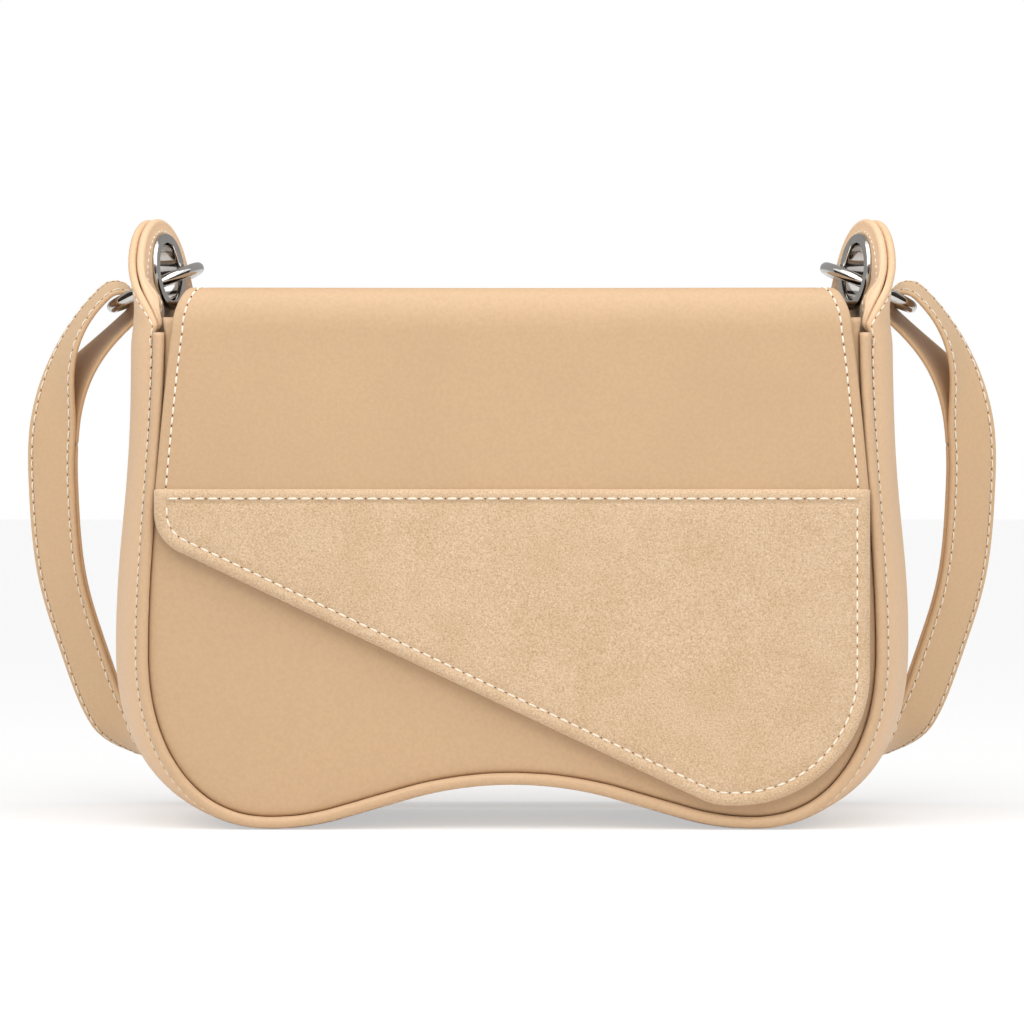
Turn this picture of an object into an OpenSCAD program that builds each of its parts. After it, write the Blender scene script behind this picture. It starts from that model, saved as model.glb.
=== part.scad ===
/* [Body] */
// Half the width of the front panel at its widest, at the seam
panel_half_w = 111.7; // [100:0.1:125]
// Half the width of the front panel at its top
panel_top_half_w = 106.6; // [98:0.1:115]
// How much narrower the back panel's half width is at its top
back_top_inset = 3; // [2:0.1:6]
// Height at which the panels are widest
wide_z = 55; // [50:0.5:65]
// Height of the front panel's top edge, where the gusset and the rims end
front_top_z = 153; // [148:0.5:154]
// Height of the back panel's top edge
back_top_z = 161; // [150:0.5:163]
// Depth between the outer faces of the two panels
body_d = 66; // [58:0.5:80]
// Distance from the middle to the lowest point of a lobe
lobe_x = 74; // [66:0.5:80]
// Rise of the seam from a lobe to the arch between them
arch_rise = 13.5; // [8:0.5:20]
// Bulge of the gusset at mid depth
gusset_bulge = 9.4; // [4:0.1:11]

/* [Leather] */
// Thickness of the panels' leather
leather_t = 1.8; // [1.4:0.1:2.2]
// Thickness of a stiffening board
board_t = 1.2; // [0.8:0.1:1.6]
// Thickness of the lining
lining_t = 0.8; // [0.5:0.1:1]
// Radius of the rolled rim
rim_r = 1.9; // [1.5:0.1:2.2]
// Radius of the cord inside the rim
rim_cord_r = 1.0; // [0.6:0.1:1.1]

/* [Flap] */
// How far the flap's sides stop short of the seam, at the suede panel
flap_side_inset = 0.2; // [0.2:0.1:6]
// How far the flap's sides stop short of the seam, at the front fold
flap_fold_inset = 3; // [2.6:0.1:9]
// How far the flap's back corners stop short of the back panel's sides
flap_back_inset = 7; // [6.6:0.1:12]
// Height of the flap's top face
flap_top_z = 166.8; // [166:0.1:172]
// Outer radius of the fold over the front edge
fold_r = 7.5; // [6.5:0.1:8.5]
// Height of the suede panel's top edge
suede_top_z = 104.5; // [95:0.5:115]
// Height of the flap's lowest edge
flap_low_z = 7.8; // [7:0.1:14]
// Place along the width where the slanting edge reaches the lowest edge
flap_low_x = 62; // [50:1:70]
// Slope of the slanting edge
flap_slope = 25.4; // [20:0.1:28]
// Thickness of the flap's smooth leather
flap_leather_t = 1.2; // [1:0.1:1.6]
// Thickness of the suede
suede_t = 1.3; // [1:0.1:1.8]
// Radius of the magnets
magnet_r = 7; // [5:0.5:9]

/* [Ears] */
// Height of the grommets' centre
grommet_z = 173.4; // [172.5:0.1:176]
// Distance of a grommet's centre outside the seam's top
grommet_outset = 5.4; // [4:0.1:7]
// Radius of the ear's round head
ear_head_r = 20.5; // [19.5:0.1:21]
// Thickness of one leather layer of an ear
ear_layer_t = 2.4; // [1.8:0.1:2.5]
// Angle by which an ear turns its inner face to the front
ear_turn = 15.5; // [14:0.1:17]
// Angle by which an ear leans outward
ear_lean = 5; // [4:0.1:6]

/* [Metal] */
// Radius of a grommet's hole
grommet_hole_r = 8.8; // [8.6:0.1:9]
// Radius of a grommet's flange
grommet_flange_r = 12.4; // [11.5:0.1:12.8]
// Radius of a ring to the middle of its wire
ring_r = 15; // [14.8:0.1:15.2]
// Radius of the ring's wire
ring_wire_r = 1.9; // [1.6:0.05:1.95]

/* [Strap] */
// Width of the strap
strap_w = 20; // [16:0.5:20]
// Thickness of one band of the strap
band_t = 1.5; // [1.2:0.1:1.8]
// How far the hanging loop's widest point lies outside the grommets' centres
loop_outset = 37.4; // [34:0.1:43]
// Height at which the loop is widest
loop_wide_z = 106; // [95:1:115]
// Turn of the strap's outer face to the front, half way down
strap_turn = 48; // [30:1:55]
// Height of the hanging loop's lowest point
strap_low_z = 8.5; // [4:0.5:12]

/* [Hidden] */

// Clearances: sewn layers, layers on different bodies, and the overrun of cuts
sewn_gap = 0.1;
free_gap = 0.3;
cut_over = 1;

// Shares and counts that shape the outline
corner_exp_share = 2.2;
arch_round_share = 0.92;
lobe_round_share = 0.36;
bulge_power_share = 2;
bulge_round_share = 0.8;
rim_seat_share = 0.25;
side_steps = 10;
corner_steps = 14;
arc_steps = 5;
arch_steps = 6;
depth_steps = 8;
tube_sides = 10;
bend_steps = 9;
corner_turn = 9;

// Depth of the strap behind the bag, and the whole part centred on its depth
strap_behind = 4;
strap_rear = body_d / 2 + rim_r + strap_behind + strap_w;
flap_stack = free_gap + lining_t + flap_leather_t + suede_t + 2 * sewn_gap;
flap_front = body_d / 2 + flap_stack;
mid_y = (flap_front - strap_rear) / 2;
front_y = -body_d / 2;
back_y = body_d / 2;

// Widths and places that follow from the panels' widths
back_top_half_w = panel_top_half_w - back_top_inset;
flap_half_w = -side_x(suede_top_z, panel_top_half_w, front_top_z) - flap_side_inset;
flap_fold_half_w = panel_top_half_w - flap_fold_inset;
flap_back_half_w = back_top_half_w - flap_back_inset;
grommet_x = panel_top_half_w + grommet_outset;
loop_half_w = grommet_x + loop_outset;

function smooth(t) = t <= 0 ? 0 : t >= 1 ? 1 : t * t * (3 - 2 * t);
function unit(v) = v / norm(v);
function flat(l) = [for (a = l) for (b = a) b];
function mirror_x(p) = [-p.x, p.y];

// The gusset's edge lies outside the rims; its lobes are cut flat where the bag stands
gusset_edge_off = 2 * rim_r + rim_seat_share * rim_r;
gusset_edge_gap = rim_r + sewn_gap;
base_flat = 0.3;
lobe_z = gusset_edge_off - base_flat;

// Lobe and arch: two arcs and the straight line that touches both
arc_sum = arch_round_share * (lobe_x * lobe_x + arch_rise * arch_rise) / (2 * arch_rise);
lobe_r = arc_sum * lobe_round_share;
arch_r = arc_sum - lobe_r;
arc_dist = norm([lobe_x, arc_sum - arch_rise]);
arc_turn = atan2(lobe_x, arc_sum - arch_rise) - acos(arc_sum / arc_dist);

// Left half of the seam outline from its top to the middle of the arch, as [x, z]
function side_x(z, top_half, top_z) = -(panel_half_w
    - (panel_half_w - top_half) * smooth((z - wide_z) / (top_z - wide_z)));
function seam_half(top_half, top_z) = concat(
    [for (i = [0:side_steps - 1])
        let (z = top_z + (wide_z - top_z) * i / side_steps) [side_x(z, top_half, top_z), z]],
    [for (i = [0:corner_steps - 1])
        let (a = 90 * i / corner_steps)
        [-lobe_x - (panel_half_w - lobe_x) * pow(cos(a), 2 / corner_exp_share),
         wide_z - (wide_z - lobe_z) * pow(sin(a), 2 / corner_exp_share)]],
    [for (i = [0:arc_steps])
        let (a = arc_turn * i / arc_steps)
        [-lobe_x + lobe_r * sin(a), lobe_z + lobe_r * (1 - cos(a))]],
    [for (i = [0:arch_steps])
        let (a = arc_turn * (1 - i / arch_steps))
        [-arch_r * sin(a), lobe_z + arch_rise - arch_r * (1 - cos(a))]]
);
function seam(top_half, top_z) = let (h = seam_half(top_half, top_z), n = len(h))
    concat(h, [for (i = [n - 2:-1:0]) mirror_x(h[i])]);

// Outward normals along an open outline that runs left side, bottom, right side
function normals(p) = let (n = len(p)) [for (i = [0:n - 1])
    let (t = unit(p[min(i + 1, n - 1)] - p[max(i - 1, 0)])) [t.y, -t.x]];
function moved_out(p, d) = let (n = normals(p)) [for (i = [0:len(p) - 1]) p[i] + n[i] * d];

front_seam = seam(panel_top_half_w, front_top_z);
back_seam = seam(back_top_half_w, front_top_z);
last = len(front_seam) - 1;

// The back panel rises above its seam, to carry the flap
back_rise_inset = 4;
function back_outline(inset) = concat(
    [[-back_top_half_w + back_rise_inset + inset, back_top_z - inset]],
    moved_out(back_seam, -inset),
    [[back_top_half_w - back_rise_inset - inset, back_top_z - inset]]
);

// A flat sheet in the panels' plane, from depth y0 to y1
module sheet(points, y0, y1) {
    translate([0, mid_y + y1, 0]) rotate([90, 0, 0]) linear_extrude(y1 - y0) polygon(points);
}

// A closed mesh from rings of equally many points; its caps are fans round their first points.
// The two long faces of a thin strip are split along the same diagonals, so it keeps its thickness.
function ring_faces(rings, sides) = concat(
    [for (i = [0:rings - 2]) for (j = [0:sides - 1])
        let (a = i * sides + j, b = i * sides + (j + 1) % sides)
        each j < sides / 2 ? [[a, b, b + sides], [a, b + sides, a + sides]]
                           : [[a, b, a + sides], [b, b + sides, a + sides]]],
    [for (j = [1:sides - 2]) [0, j + 1, j]],
    [for (j = [1:sides - 2])
        let (s = (rings - 1) * sides) [s, s + j, s + j + 1]]
);
module loft(rings) {
    polyhedron(flat(rings), ring_faces(len(rings), len(rings[0])), convexity = 10);
}

// Round tubes along a seam at depth y: a solid one, and a pipe whose two ends are open rings
function tube_ring(centre, n, y, r) = [for (j = [0:tube_sides - 1])
    let (a = 360 * j / tube_sides)
    [centre.x + r * cos(a) * n.x, y + r * sin(a), centre.y + r * cos(a) * n.y]];
function tube_rings(seam_line, y, r) = let (c = moved_out(seam_line, rim_r), n = normals(seam_line))
    [for (i = [0:last]) tube_ring(c[i], n[i], y, r)];
module seam_tube(seam_line, y, r) {
    translate([0, mid_y, 0]) loft(tube_rings(seam_line, y, r));
}
module seam_pipe(seam_line, y, r, bore) {
    s = tube_sides;
    inner = (last + 1) * s;
    wall = [for (i = [0:last - 1]) for (j = [0:s - 1])
        let (a = i * s + j, b = i * s + (j + 1) % s)
        each [[a, b, b + s], [a, b + s, a + s]]];
    ends = [for (j = [0:s - 1])
        let (k = (j + 1) % s, z = last * s)
        each [[j, inner + k, k], [j, inner + j, inner + k],
              [z + j, z + k, z + inner + k], [z + j, z + inner + k, z + inner + j]]];
    points = concat(flat(tube_rings(seam_line, y, r)), flat(tube_rings(seam_line, y, bore)));
    bore_wall = [for (f = wall) [f[0] + inner, f[2] + inner, f[1] + inner]];
    translate([0, mid_y, 0]) polyhedron(points, concat(wall, bore_wall, ends), convexity = 10);
}

module front_panel() {
    color("burlywood") sheet(moved_out(front_seam, -sewn_gap), front_y, front_y + leather_t);
}
module back_panel() {
    color("burlywood") sheet(back_outline(sewn_gap), back_y - leather_t, back_y);
}

// Boards and linings lie inside the leather, each a little smaller than the one before
board_inset = 3;
board_y = body_d / 2 - leather_t - sewn_gap;
lining_y = board_y - board_t - sewn_gap;
magnet_inset = 41.7;
magnet_x = panel_half_w - magnet_inset;
magnet_z = 40;
module magnet(y0, y1, r) {
    translate([magnet_x, mid_y + y1, magnet_z]) rotate([90, 0, 0]) cylinder(r = r, h = y1 - y0, $fn = 48);
}
module front_board() {
    color("tan") difference() {
        sheet(moved_out(front_seam, -board_inset), -board_y, -board_y + board_t);
        magnet(-board_y - cut_over, -board_y + board_t + cut_over, magnet_r + sewn_gap);
    }
}
module front_magnet() {
    color("gray") magnet(-board_y, -board_y + board_t, magnet_r);
}
module back_board() {
    color("tan") sheet(back_outline(board_inset), board_y - board_t, board_y);
}
module front_lining() {
    color("wheat") sheet(moved_out(front_seam, -board_inset), -lining_y, -lining_y + lining_t);
}
module back_lining() {
    color("wheat") sheet(back_outline(board_inset), lining_y - lining_t, lining_y);
}

// The gusset is a strip swept round the seams: from the front seam to the back seam it bulges out.
// Towards the top its bulge moves to the front, to lead into the turned ears.
front_bias_share = 0.72;
bias_from_z = 90;
function gusset_point(i, v, off) =
    let (
        f = front_seam[i], b = back_seam[i],
        nf = normals(front_seam)[i],
        rise = smooth((f.y - bias_from_z) / (front_top_z - bias_from_z)),
        w = pow(v, 1 + (front_bias_share - 1) * rise),
        bulge = gusset_bulge * pow(abs(nf.x), bulge_power_share) * pow(sin(180 * w), bulge_round_share),
        p = f + (b - f) * v + nf * (off + bulge)
    )
    [p.x, front_y + gusset_edge_gap + (body_d - 2 * gusset_edge_gap) * v, max(0, p.y)];
function gusset_ring(i, off, t) = concat(
    [for (j = [0:depth_steps]) gusset_point(i, j / depth_steps, off)],
    [for (j = [depth_steps:-1:0]) gusset_point(i, j / depth_steps, off - t)]
);
module strip(off, t) {
    n = depth_steps + 1;
    sides = 2 * n;
    rings = last + 1;
    cap = flat([for (j = [0:depth_steps - 1]) [[j, j + 1, sides - 2 - j], [j, sides - 2 - j, sides - 1 - j]]]);
    body = [for (f = ring_faces(rings, sides)) if (!(max(f) < sides || min(f) >= sides * (rings - 1))) f];
    s = (rings - 1) * sides;
    faces = concat(body,
        [for (f = cap) [f[0], f[2], f[1]]],
        [for (f = cap) [f[0] + s, f[1] + s, f[2] + s]]);
    translate([0, mid_y, 0]) polyhedron(flat([for (i = [0:last]) gusset_ring(i, off, t)]), faces, convexity = 10);
}
module gusset() {
    color("burlywood") strip(gusset_edge_off, leather_t);
}
module gusset_lining() {
    color("wheat") strip(gusset_edge_off - leather_t - sewn_gap, lining_t);
}

module front_rim() {
    color("tan") seam_pipe(front_seam, front_y, rim_r, rim_cord_r + sewn_gap);
}
module front_rim_cord() {
    color("beige") seam_tube(front_seam, front_y, rim_cord_r);
}
module back_rim() {
    color("tan") seam_pipe(back_seam, back_y, rim_r, rim_cord_r + sewn_gap);
}
module back_rim_cord() {
    color("beige") seam_tube(back_seam, back_y, rim_cord_r);
}

// Ears: flat tongues with a round head, built in their own plane with the grommet's centre at 0.
// In that plane x runs to the back and y runs up; the extrusion runs inward.
ear_head_drop = 3.5;
ear_base_y = front_top_z + free_gap - grommet_z;
ear_head_steps = 24;
ear_total_t = 2 * ear_layer_t + board_t / 2 + 2 * sewn_gap;
ear_base_inset = 2.6;
ear_base_half = body_d / 2 - ear_base_inset;
ear_flare = acos(ear_head_r / norm([ear_base_half, ear_base_y + ear_head_drop]))
    + atan2(ear_base_y + ear_head_drop, ear_base_half);
module ear_outline() {
    polygon(concat(
        [for (i = [0:ear_head_steps])
            let (a = ear_flare + (180 - 2 * ear_flare) * i / ear_head_steps)
            [ear_head_r * cos(a), -ear_head_drop + ear_head_r * sin(a)]],
        [[-ear_base_half, ear_base_y], [ear_base_half, ear_base_y]]
    ));
}
module at_left_ear() {
    translate([-grommet_x, mid_y, grommet_z]) rotate([0, 0, -ear_turn]) rotate([0, -ear_lean, 0])
        rotate([90, 0, 90]) children();
}
module ear_layer(z0, t) {
    at_left_ear() translate([0, 0, z0]) difference() {
        linear_extrude(t) ear_outline();
        translate([0, 0, -cut_over]) cylinder(r = grommet_barrel_r + sewn_gap, h = t + 2 * cut_over, $fn = 64);
    }
}
module both_sides(right) {
    mirror([right ? 1 : 0, 0, 0]) children();
}
ear_board_t = board_t / 2;
module ear_outer(right) {
    color("burlywood") both_sides(right) ear_layer(-ear_total_t / 2, ear_layer_t);
}
module ear_board(right) {
    color("tan") both_sides(right) ear_layer(-ear_board_t / 2, ear_board_t);
}
module ear_facing(right) {
    color("burlywood") both_sides(right) ear_layer(ear_total_t / 2 - ear_layer_t, ear_layer_t);
}

// Grommets: a barrel with a domed flange on the inner face, and a washer under its rolled end
grommet_wall = 0.6;
grommet_barrel_r = grommet_hole_r + grommet_wall;
flange_t = 1.2;
module grommet(right) {
    face = ear_total_t / 2 + sewn_gap;
    color("dimgray") both_sides(right) at_left_ear() rotate_extrude($fn = 96) {
        translate([grommet_hole_r, -face - flange_t]) square([grommet_wall, 2 * face + flange_t]);
        intersection() {
            translate([(grommet_hole_r + grommet_flange_r) / 2, face])
                scale((grommet_flange_r - grommet_hole_r) / 2) circle(1, $fn = 48);
            translate([grommet_hole_r, face]) square([grommet_flange_r - grommet_hole_r, flange_t]);
        }
    }
}
module grommet_washer(right) {
    face = ear_total_t / 2 + sewn_gap;
    color("silver") both_sides(right) at_left_ear() rotate_extrude($fn = 96)
        translate([grommet_barrel_r + sewn_gap, -face - flange_t])
            square([grommet_flange_r - grommet_barrel_r - sewn_gap, flange_t]);
}

// Rings: each passes through its grommet and round the back of the ear's head
ring_out = 2.89;
ring_back = 14.98;
ring_down = 3.54;
ring_tilt = 24.6;
ring_roll = -3.3;
ring_at = [-grommet_x - ring_out, mid_y + ring_back, grommet_z - ring_down];
ring_u = [cos(ring_tilt), 0, sin(ring_tilt)];
ring_v = [sin(ring_tilt) * sin(ring_roll), cos(ring_roll), -cos(ring_tilt) * sin(ring_roll)];
module ring(right) {
    color("silver") both_sides(right) translate(ring_at) rotate([0, -ring_tilt, 0]) rotate([-ring_roll, 0, 0])
        rotate_extrude($fn = 96) translate([ring_r, 0]) circle(ring_wire_r, $fn = 32);
}

// Strap: two bands along one loop, which part near the rings; the outer band folds round the ring
hairpin_in_r = 3.8;
hairpin_in = 3.6;
hairpin_r = hairpin_in_r + band_t / 2;
bands_apart = band_t + free_gap;
loop_low_z = strap_low_z + band_t + free_gap / 2;
loop_exp_share = 3;
loop_top_exp_share = 2.5;
loop_corner_from = 15;
loop_corner_to = 60;
hairpin_at = ring_at - ring_u * (ring_r - hairpin_in);
loop_top_h = (hairpin_at.z - loop_wide_z)
    / pow(1 - pow(-hairpin_at.x / loop_half_w, loop_top_exp_share), 1 / loop_top_exp_share);
loop_end_a = atan2((hairpin_at.z - loop_wide_z) / loop_top_h, -hairpin_at.x / loop_half_w);
loop_steps = 34;
hairpin_steps = 8;
tongue_steps = 5;
part_height = 45;
turn_in = 16;
turn_out = 30;
// The lower corners are squarer than the sides
function loop_exp(a) = a > 0 ? loop_top_exp_share
    : loop_exp_share * (1 + pow(smooth((-a - loop_corner_from) / (loop_corner_to - loop_corner_from)), 2));
function loop_point(k) =
    let (
        a = -90 + (90 + loop_end_a) * k / loop_steps,
        e = loop_exp(a),
        r = pow(pow(cos(a), e) + pow(abs(sin(a)), e), -1 / e),
        x = -loop_half_w * r * cos(a),
        z = loop_wide_z + (a < 0 ? loop_wide_z - loop_low_z : loop_top_h) * r * sin(a),
        y = hairpin_at.y + (mid_y + strap_rear - strap_w / 2 - hairpin_at.y)
            * smooth((hairpin_at.z - z) / (hairpin_at.z - loop_low_z))
    )
    [x, y, z];
loop_core = [for (k = [0:loop_steps]) loop_point(k)];
function loop_along(k) = unit(loop_core[min(k + 1, loop_steps)] - loop_core[max(k - 1, 0)]);
function loop_across(k) =
    let (
        z = loop_core[k].z,
        near = smooth((z - (hairpin_at.z - turn_in)) / turn_in),
        turn = strap_turn * (1 - near) * smooth((z - loop_low_z) / turn_out),
        w = (1 - near) * [-sin(turn), cos(turn), 0] + near * ring_v,
        t = loop_along(k)
    )
    unit(w - t * (w * t));
function loop_out(k) = cross(loop_along(k), loop_across(k));
function half_apart(k) = bands_apart / 2 + (hairpin_r - bands_apart / 2)
    * smooth((loop_core[k].z - (hairpin_at.z - part_height)) / part_height);
// One cross-section of a band: four corners round a point
function band_ring(at, across, out) = [
    at + across * strap_w / 2 - out * band_t / 2,
    at - across * strap_w / 2 - out * band_t / 2,
    at - across * strap_w / 2 + out * band_t / 2,
    at + across * strap_w / 2 + out * band_t / 2
];
function band_side(k, s) = band_ring(loop_core[k] + loop_out(k) * half_apart(k) * s, loop_across(k), loop_out(k));
function hairpin_ring(j) =
    let (
        a = 180 * j / hairpin_steps,
        o = loop_out(loop_steps),
        t = loop_along(loop_steps),
        d = o * cos(a) + t * sin(a)
    )
    band_ring(loop_core[loop_steps] + d * hairpin_r, loop_across(loop_steps), d);
function flipped_ring(r) = [r[3], r[2], r[1], r[0]];
function mirror_ring(r) = [for (p = r) [-p.x, p.y, p.z]];
outer_half = concat(
    [for (k = [0:loop_steps]) band_side(k, 1)],
    [for (j = [1:hairpin_steps]) hairpin_ring(j)],
    [for (k = [loop_steps - 1:-1:loop_steps - tongue_steps]) flipped_ring(band_side(k, -1))]
);
tongue_end = loop_steps - tongue_steps;
inner_half = concat(
    [for (k = [0:tongue_end - 1]) band_side(k, -1)],
    [[for (p = band_side(tongue_end, -1)) p - loop_along(tongue_end) * free_gap]]
);
function whole_band(half) = concat(
    [for (i = [len(half) - 1:-1:1]) mirror_ring(half[i])], half
);
module strap_outer() {
    color("burlywood") loft(whole_band(outer_half));
}
module strap_inner() {
    color("wheat") loft(whole_band(inner_half));
}

// Corners of an outline, each rounded by its own radius
function rounded_corner(a, p, b, r) =
    let (
        u = unit(a - p), w = unit(b - p),
        half = acos(u * w) / 2,
        c = p + unit(u + w) * r / sin(half),
        s = p + u * r / tan(half),
        sweep = 180 - 2 * half,
        side = sign(u.x * w.y - u.y * w.x),
        steps = max(2, ceil(sweep / corner_turn)),
        start = atan2(s.y - c.y, s.x - c.x)
    )
    r == 0 ? [p] : [for (i = [0:steps]) let (g = start - side * sweep * i / steps) c + r * [cos(g), sin(g)]];
function rounded(points, radii) = let (n = len(points)) flat([for (i = [0:n - 1])
    rounded_corner(points[(i + n - 1) % n], points[i], points[(i + 1) % n], radii[i])]);

// The flap: layers from the panel outward are lining, leather or board, and suede
fold_y = front_y - free_gap - lining_t - sewn_gap - flap_leather_t + fold_r;
fold_z = flap_top_z - fold_r;
flap_left_r = 13;
flap_low_r = 20;
flap_right_share = 0.87;
flap_right_r = (flap_half_w - flap_low_x) * flap_right_share;
suede_overlap = 8;
flap_edge_step = 0.6;
flap_left_z = flap_low_z + (flap_low_x + flap_half_w) * tan(flap_slope);
function flap_front_outline(top_z, inset) = rounded(
    [[-flap_half_w + inset, flap_left_z + inset], [flap_low_x, flap_low_z + inset],
     [flap_half_w - inset, flap_low_z + inset], [flap_half_w - inset, min(top_z, suede_top_z)],
     if (top_z > suede_top_z) [flap_fold_half_w - inset, top_z],
     if (top_z > suede_top_z) [-flap_fold_half_w + inset, top_z],
     [-flap_half_w + inset, min(top_z, suede_top_z)]],
    concat([flap_left_r - inset, flap_low_r - inset, flap_right_r - inset, 0, 0],
        top_z > suede_top_z ? [0, 0] : [])
);
hinge_y = back_y - 3 * free_gap;
hinge_z = flap_top_z;

// A layer of the flap over the top and the front fold; out is its depth below the leather's face
module flap_bend(out, t, inset) {
    r = fold_r - out;
    translate([0, mid_y, 0]) intersection() {
        rotate([90, 0, 90]) translate([0, 0, -panel_half_w]) linear_extrude(2 * panel_half_w) polygon(concat(
            [[hinge_y, hinge_z - out], [fold_y, hinge_z - out]],
            [for (i = [1:bend_steps]) let (a = 90 * i / bend_steps)
                [fold_y - r * sin(a), fold_z + r * cos(a)]],
            [for (i = [bend_steps:-1:0]) let (a = 90 * i / bend_steps)
                [fold_y - (r - t) * sin(a), fold_z + (r - t) * cos(a)]],
            [[hinge_y, hinge_z - out - t]]
        ));
        linear_extrude(2 * flap_top_z) polygon([
            [-flap_fold_half_w + inset, -body_d], [-flap_fold_half_w + inset, fold_y],
            [-flap_back_half_w + inset, hinge_y + cut_over], [flap_back_half_w - inset, hinge_y + cut_over],
            [flap_fold_half_w - inset, fold_y], [flap_fold_half_w - inset, -body_d]
        ]);
    }
}
module above(z) {
    intersection() {
        children();
        translate([-panel_half_w, -body_d * 2, z]) cube([2 * panel_half_w, body_d * 4, flap_top_z]);
    }
}
leather_y = fold_y - fold_r;
module flap_upper() {
    z0 = suede_top_z - suede_overlap;
    color("burlywood") union() {
        flap_bend(0, flap_leather_t, 0);
        above(z0) sheet(flap_front_outline(fold_z, 0), leather_y, leather_y + flap_leather_t);
    }
}
module flap_suede() {
    color("tan") sheet(flap_front_outline(suede_top_z, -flap_edge_step / 2),
        leather_y - sewn_gap - suede_t, leather_y - sewn_gap);
}
module flap_board() {
    color("wheat") difference() {
        intersection() {
            sheet(flap_front_outline(suede_top_z, board_inset), leather_y, leather_y + flap_leather_t);
            translate([-panel_half_w, -body_d * 2, 0])
                cube([2 * panel_half_w, body_d * 4, suede_top_z - suede_overlap - sewn_gap]);
        }
        magnet(leather_y - cut_over, leather_y + flap_leather_t + cut_over, magnet_r + sewn_gap);
    }
}
module flap_magnet() {
    color("gray") magnet(leather_y, leather_y + flap_leather_t, magnet_r);
}
module flap_lining() {
    out = flap_leather_t + sewn_gap;
    color("wheat") union() {
        flap_bend(out, lining_t, flap_edge_step);
        sheet(flap_front_outline(fold_z, flap_edge_step), leather_y + out, leather_y + out + lining_t);
    }
}

// The flap's leather is sewn to the back panel below the fold that it turns on
anchor_len = 26;
module flap_anchor() {
    y0 = back_y + sewn_gap;
    translate([-flap_back_half_w, mid_y + y0, flap_top_z - anchor_len])
        color("burlywood") cube([2 * flap_back_half_w, flap_leather_t, anchor_len]);
}

front_panel();
front_board();
front_lining();
front_magnet();
back_panel();
back_board();
back_lining();
gusset();
gusset_lining();
front_rim();
front_rim_cord();
back_rim();
back_rim_cord();
ear_outer(false);  // left_ear_outer
ear_board(false);  // left_ear_board
ear_facing(false);  // left_ear_facing
ear_outer(true);  // right_ear_outer
ear_board(true);  // right_ear_board
ear_facing(true);  // right_ear_facing
grommet(false);  // left_grommet
grommet_washer(false);  // left_grommet_washer
grommet(true);  // right_grommet
grommet_washer(true);  // right_grommet_washer
ring(false);  // left_ring
ring(true);  // right_ring
strap_outer();
strap_inner();
flap_anchor();
flap_upper();
flap_suede();
flap_board();
flap_lining();
flap_magnet();
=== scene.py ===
"""Saddle handbag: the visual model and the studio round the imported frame."""

import math

import bmesh
import bpy
import numpy as np
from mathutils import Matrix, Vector, geometry


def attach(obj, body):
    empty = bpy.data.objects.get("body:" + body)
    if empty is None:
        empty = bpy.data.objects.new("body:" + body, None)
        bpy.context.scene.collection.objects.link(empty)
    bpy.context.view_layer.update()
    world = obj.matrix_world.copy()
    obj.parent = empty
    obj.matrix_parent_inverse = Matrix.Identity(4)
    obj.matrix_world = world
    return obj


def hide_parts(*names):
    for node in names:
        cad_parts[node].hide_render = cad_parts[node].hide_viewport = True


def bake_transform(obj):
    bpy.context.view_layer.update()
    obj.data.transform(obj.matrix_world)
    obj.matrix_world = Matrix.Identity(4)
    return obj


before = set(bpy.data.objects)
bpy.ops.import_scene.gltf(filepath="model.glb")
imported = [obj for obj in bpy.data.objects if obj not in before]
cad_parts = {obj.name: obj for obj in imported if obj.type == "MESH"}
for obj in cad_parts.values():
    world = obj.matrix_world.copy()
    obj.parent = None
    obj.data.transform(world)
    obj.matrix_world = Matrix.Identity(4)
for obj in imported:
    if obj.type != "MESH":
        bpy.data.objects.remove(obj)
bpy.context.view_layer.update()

# Lengths are in millimetres, with y counted from the bag's mid-depth, until row_frame() turns them into metres.
MID_Y = -11.05
BODY_D = 66.0
SEAM_TOP_Z = 152.6
BACK_TOP_Z = 161.0
WIDE_Z = 55.0
PANEL_HALF = 111.7
FRONT_TOP_HALF = 106.6
BACK_TOP_HALF = 103.6
LOBE_X, LOBE_Z, ARCH_RISE = 74.0, 3.975, 13.5
RIM_R = 1.9
GUSSET_OFF = 4.275
GROMMET = np.array([-112.0, 0.0, 173.4])
EAR_TURN, EAR_LEAN = math.radians(15.5), math.radians(5)
EAR_R, EAR_DROP, EAR_FLARE = 20.5, 3.5, math.radians(26)
EAR_FACE = 2.8
HOLE_R = 9.45
SIDES = ((-1, "left"), (1, "right"))

# Thicknesses, and how far the gusset's edges and the stitch rows lie in from an edge.
GUSSET_THICK, EAR_THICK, PANEL_THICK, FLAP_THICK, LINING_THICK = 1.8, 2.65, 3.0, 1.22, 0.8
FACING_THIN, FACING_THICK, FACING_FOOT, FACING_GAP = 1.2, 2.6, 4.0, 0.12
EAR_ROUND, FLAP_ROUND, SUEDE_ROUND, STRAP_ROUND, LINING_ROUND = 1.25, 0.75, 1.7, 0.7, 0.4
SEAM_IN = 1.6
GUSSET_ROW_IN, EAR_ROW_IN, FACING_ROW_IN, FLAP_ROW_IN, STRAP_ROW_IN = 0.9, 2.9, 4.0, 3.3, 2.2
SUEDE_ROW_IN, TOP_ROW_IN, TOP_ROW_ENDS = 4.0, 2.9, 3.6
ANCHOR_ROWS, ANCHOR_ROW_HALF = (3.0, 8.0), 93.5

# From one stitch to the next. Rows without a pitch of their own have STITCH_PITCH.
STITCH_PITCH = 4.1
GUSSET_PITCH, FACING_PITCH, FLAP_SIDE_PITCH, SUEDE_PITCH, STRAP_PITCH = 3.2, 2.6, 3.1, 3.6, 3.8


# Small helpers.

def row_frame(points):
    """Millimetres from the bag's mid-depth to metres in the frame."""
    return (np.asarray(points, float).reshape(-1, 3) + [0, MID_Y, 0]) / 1000


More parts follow.
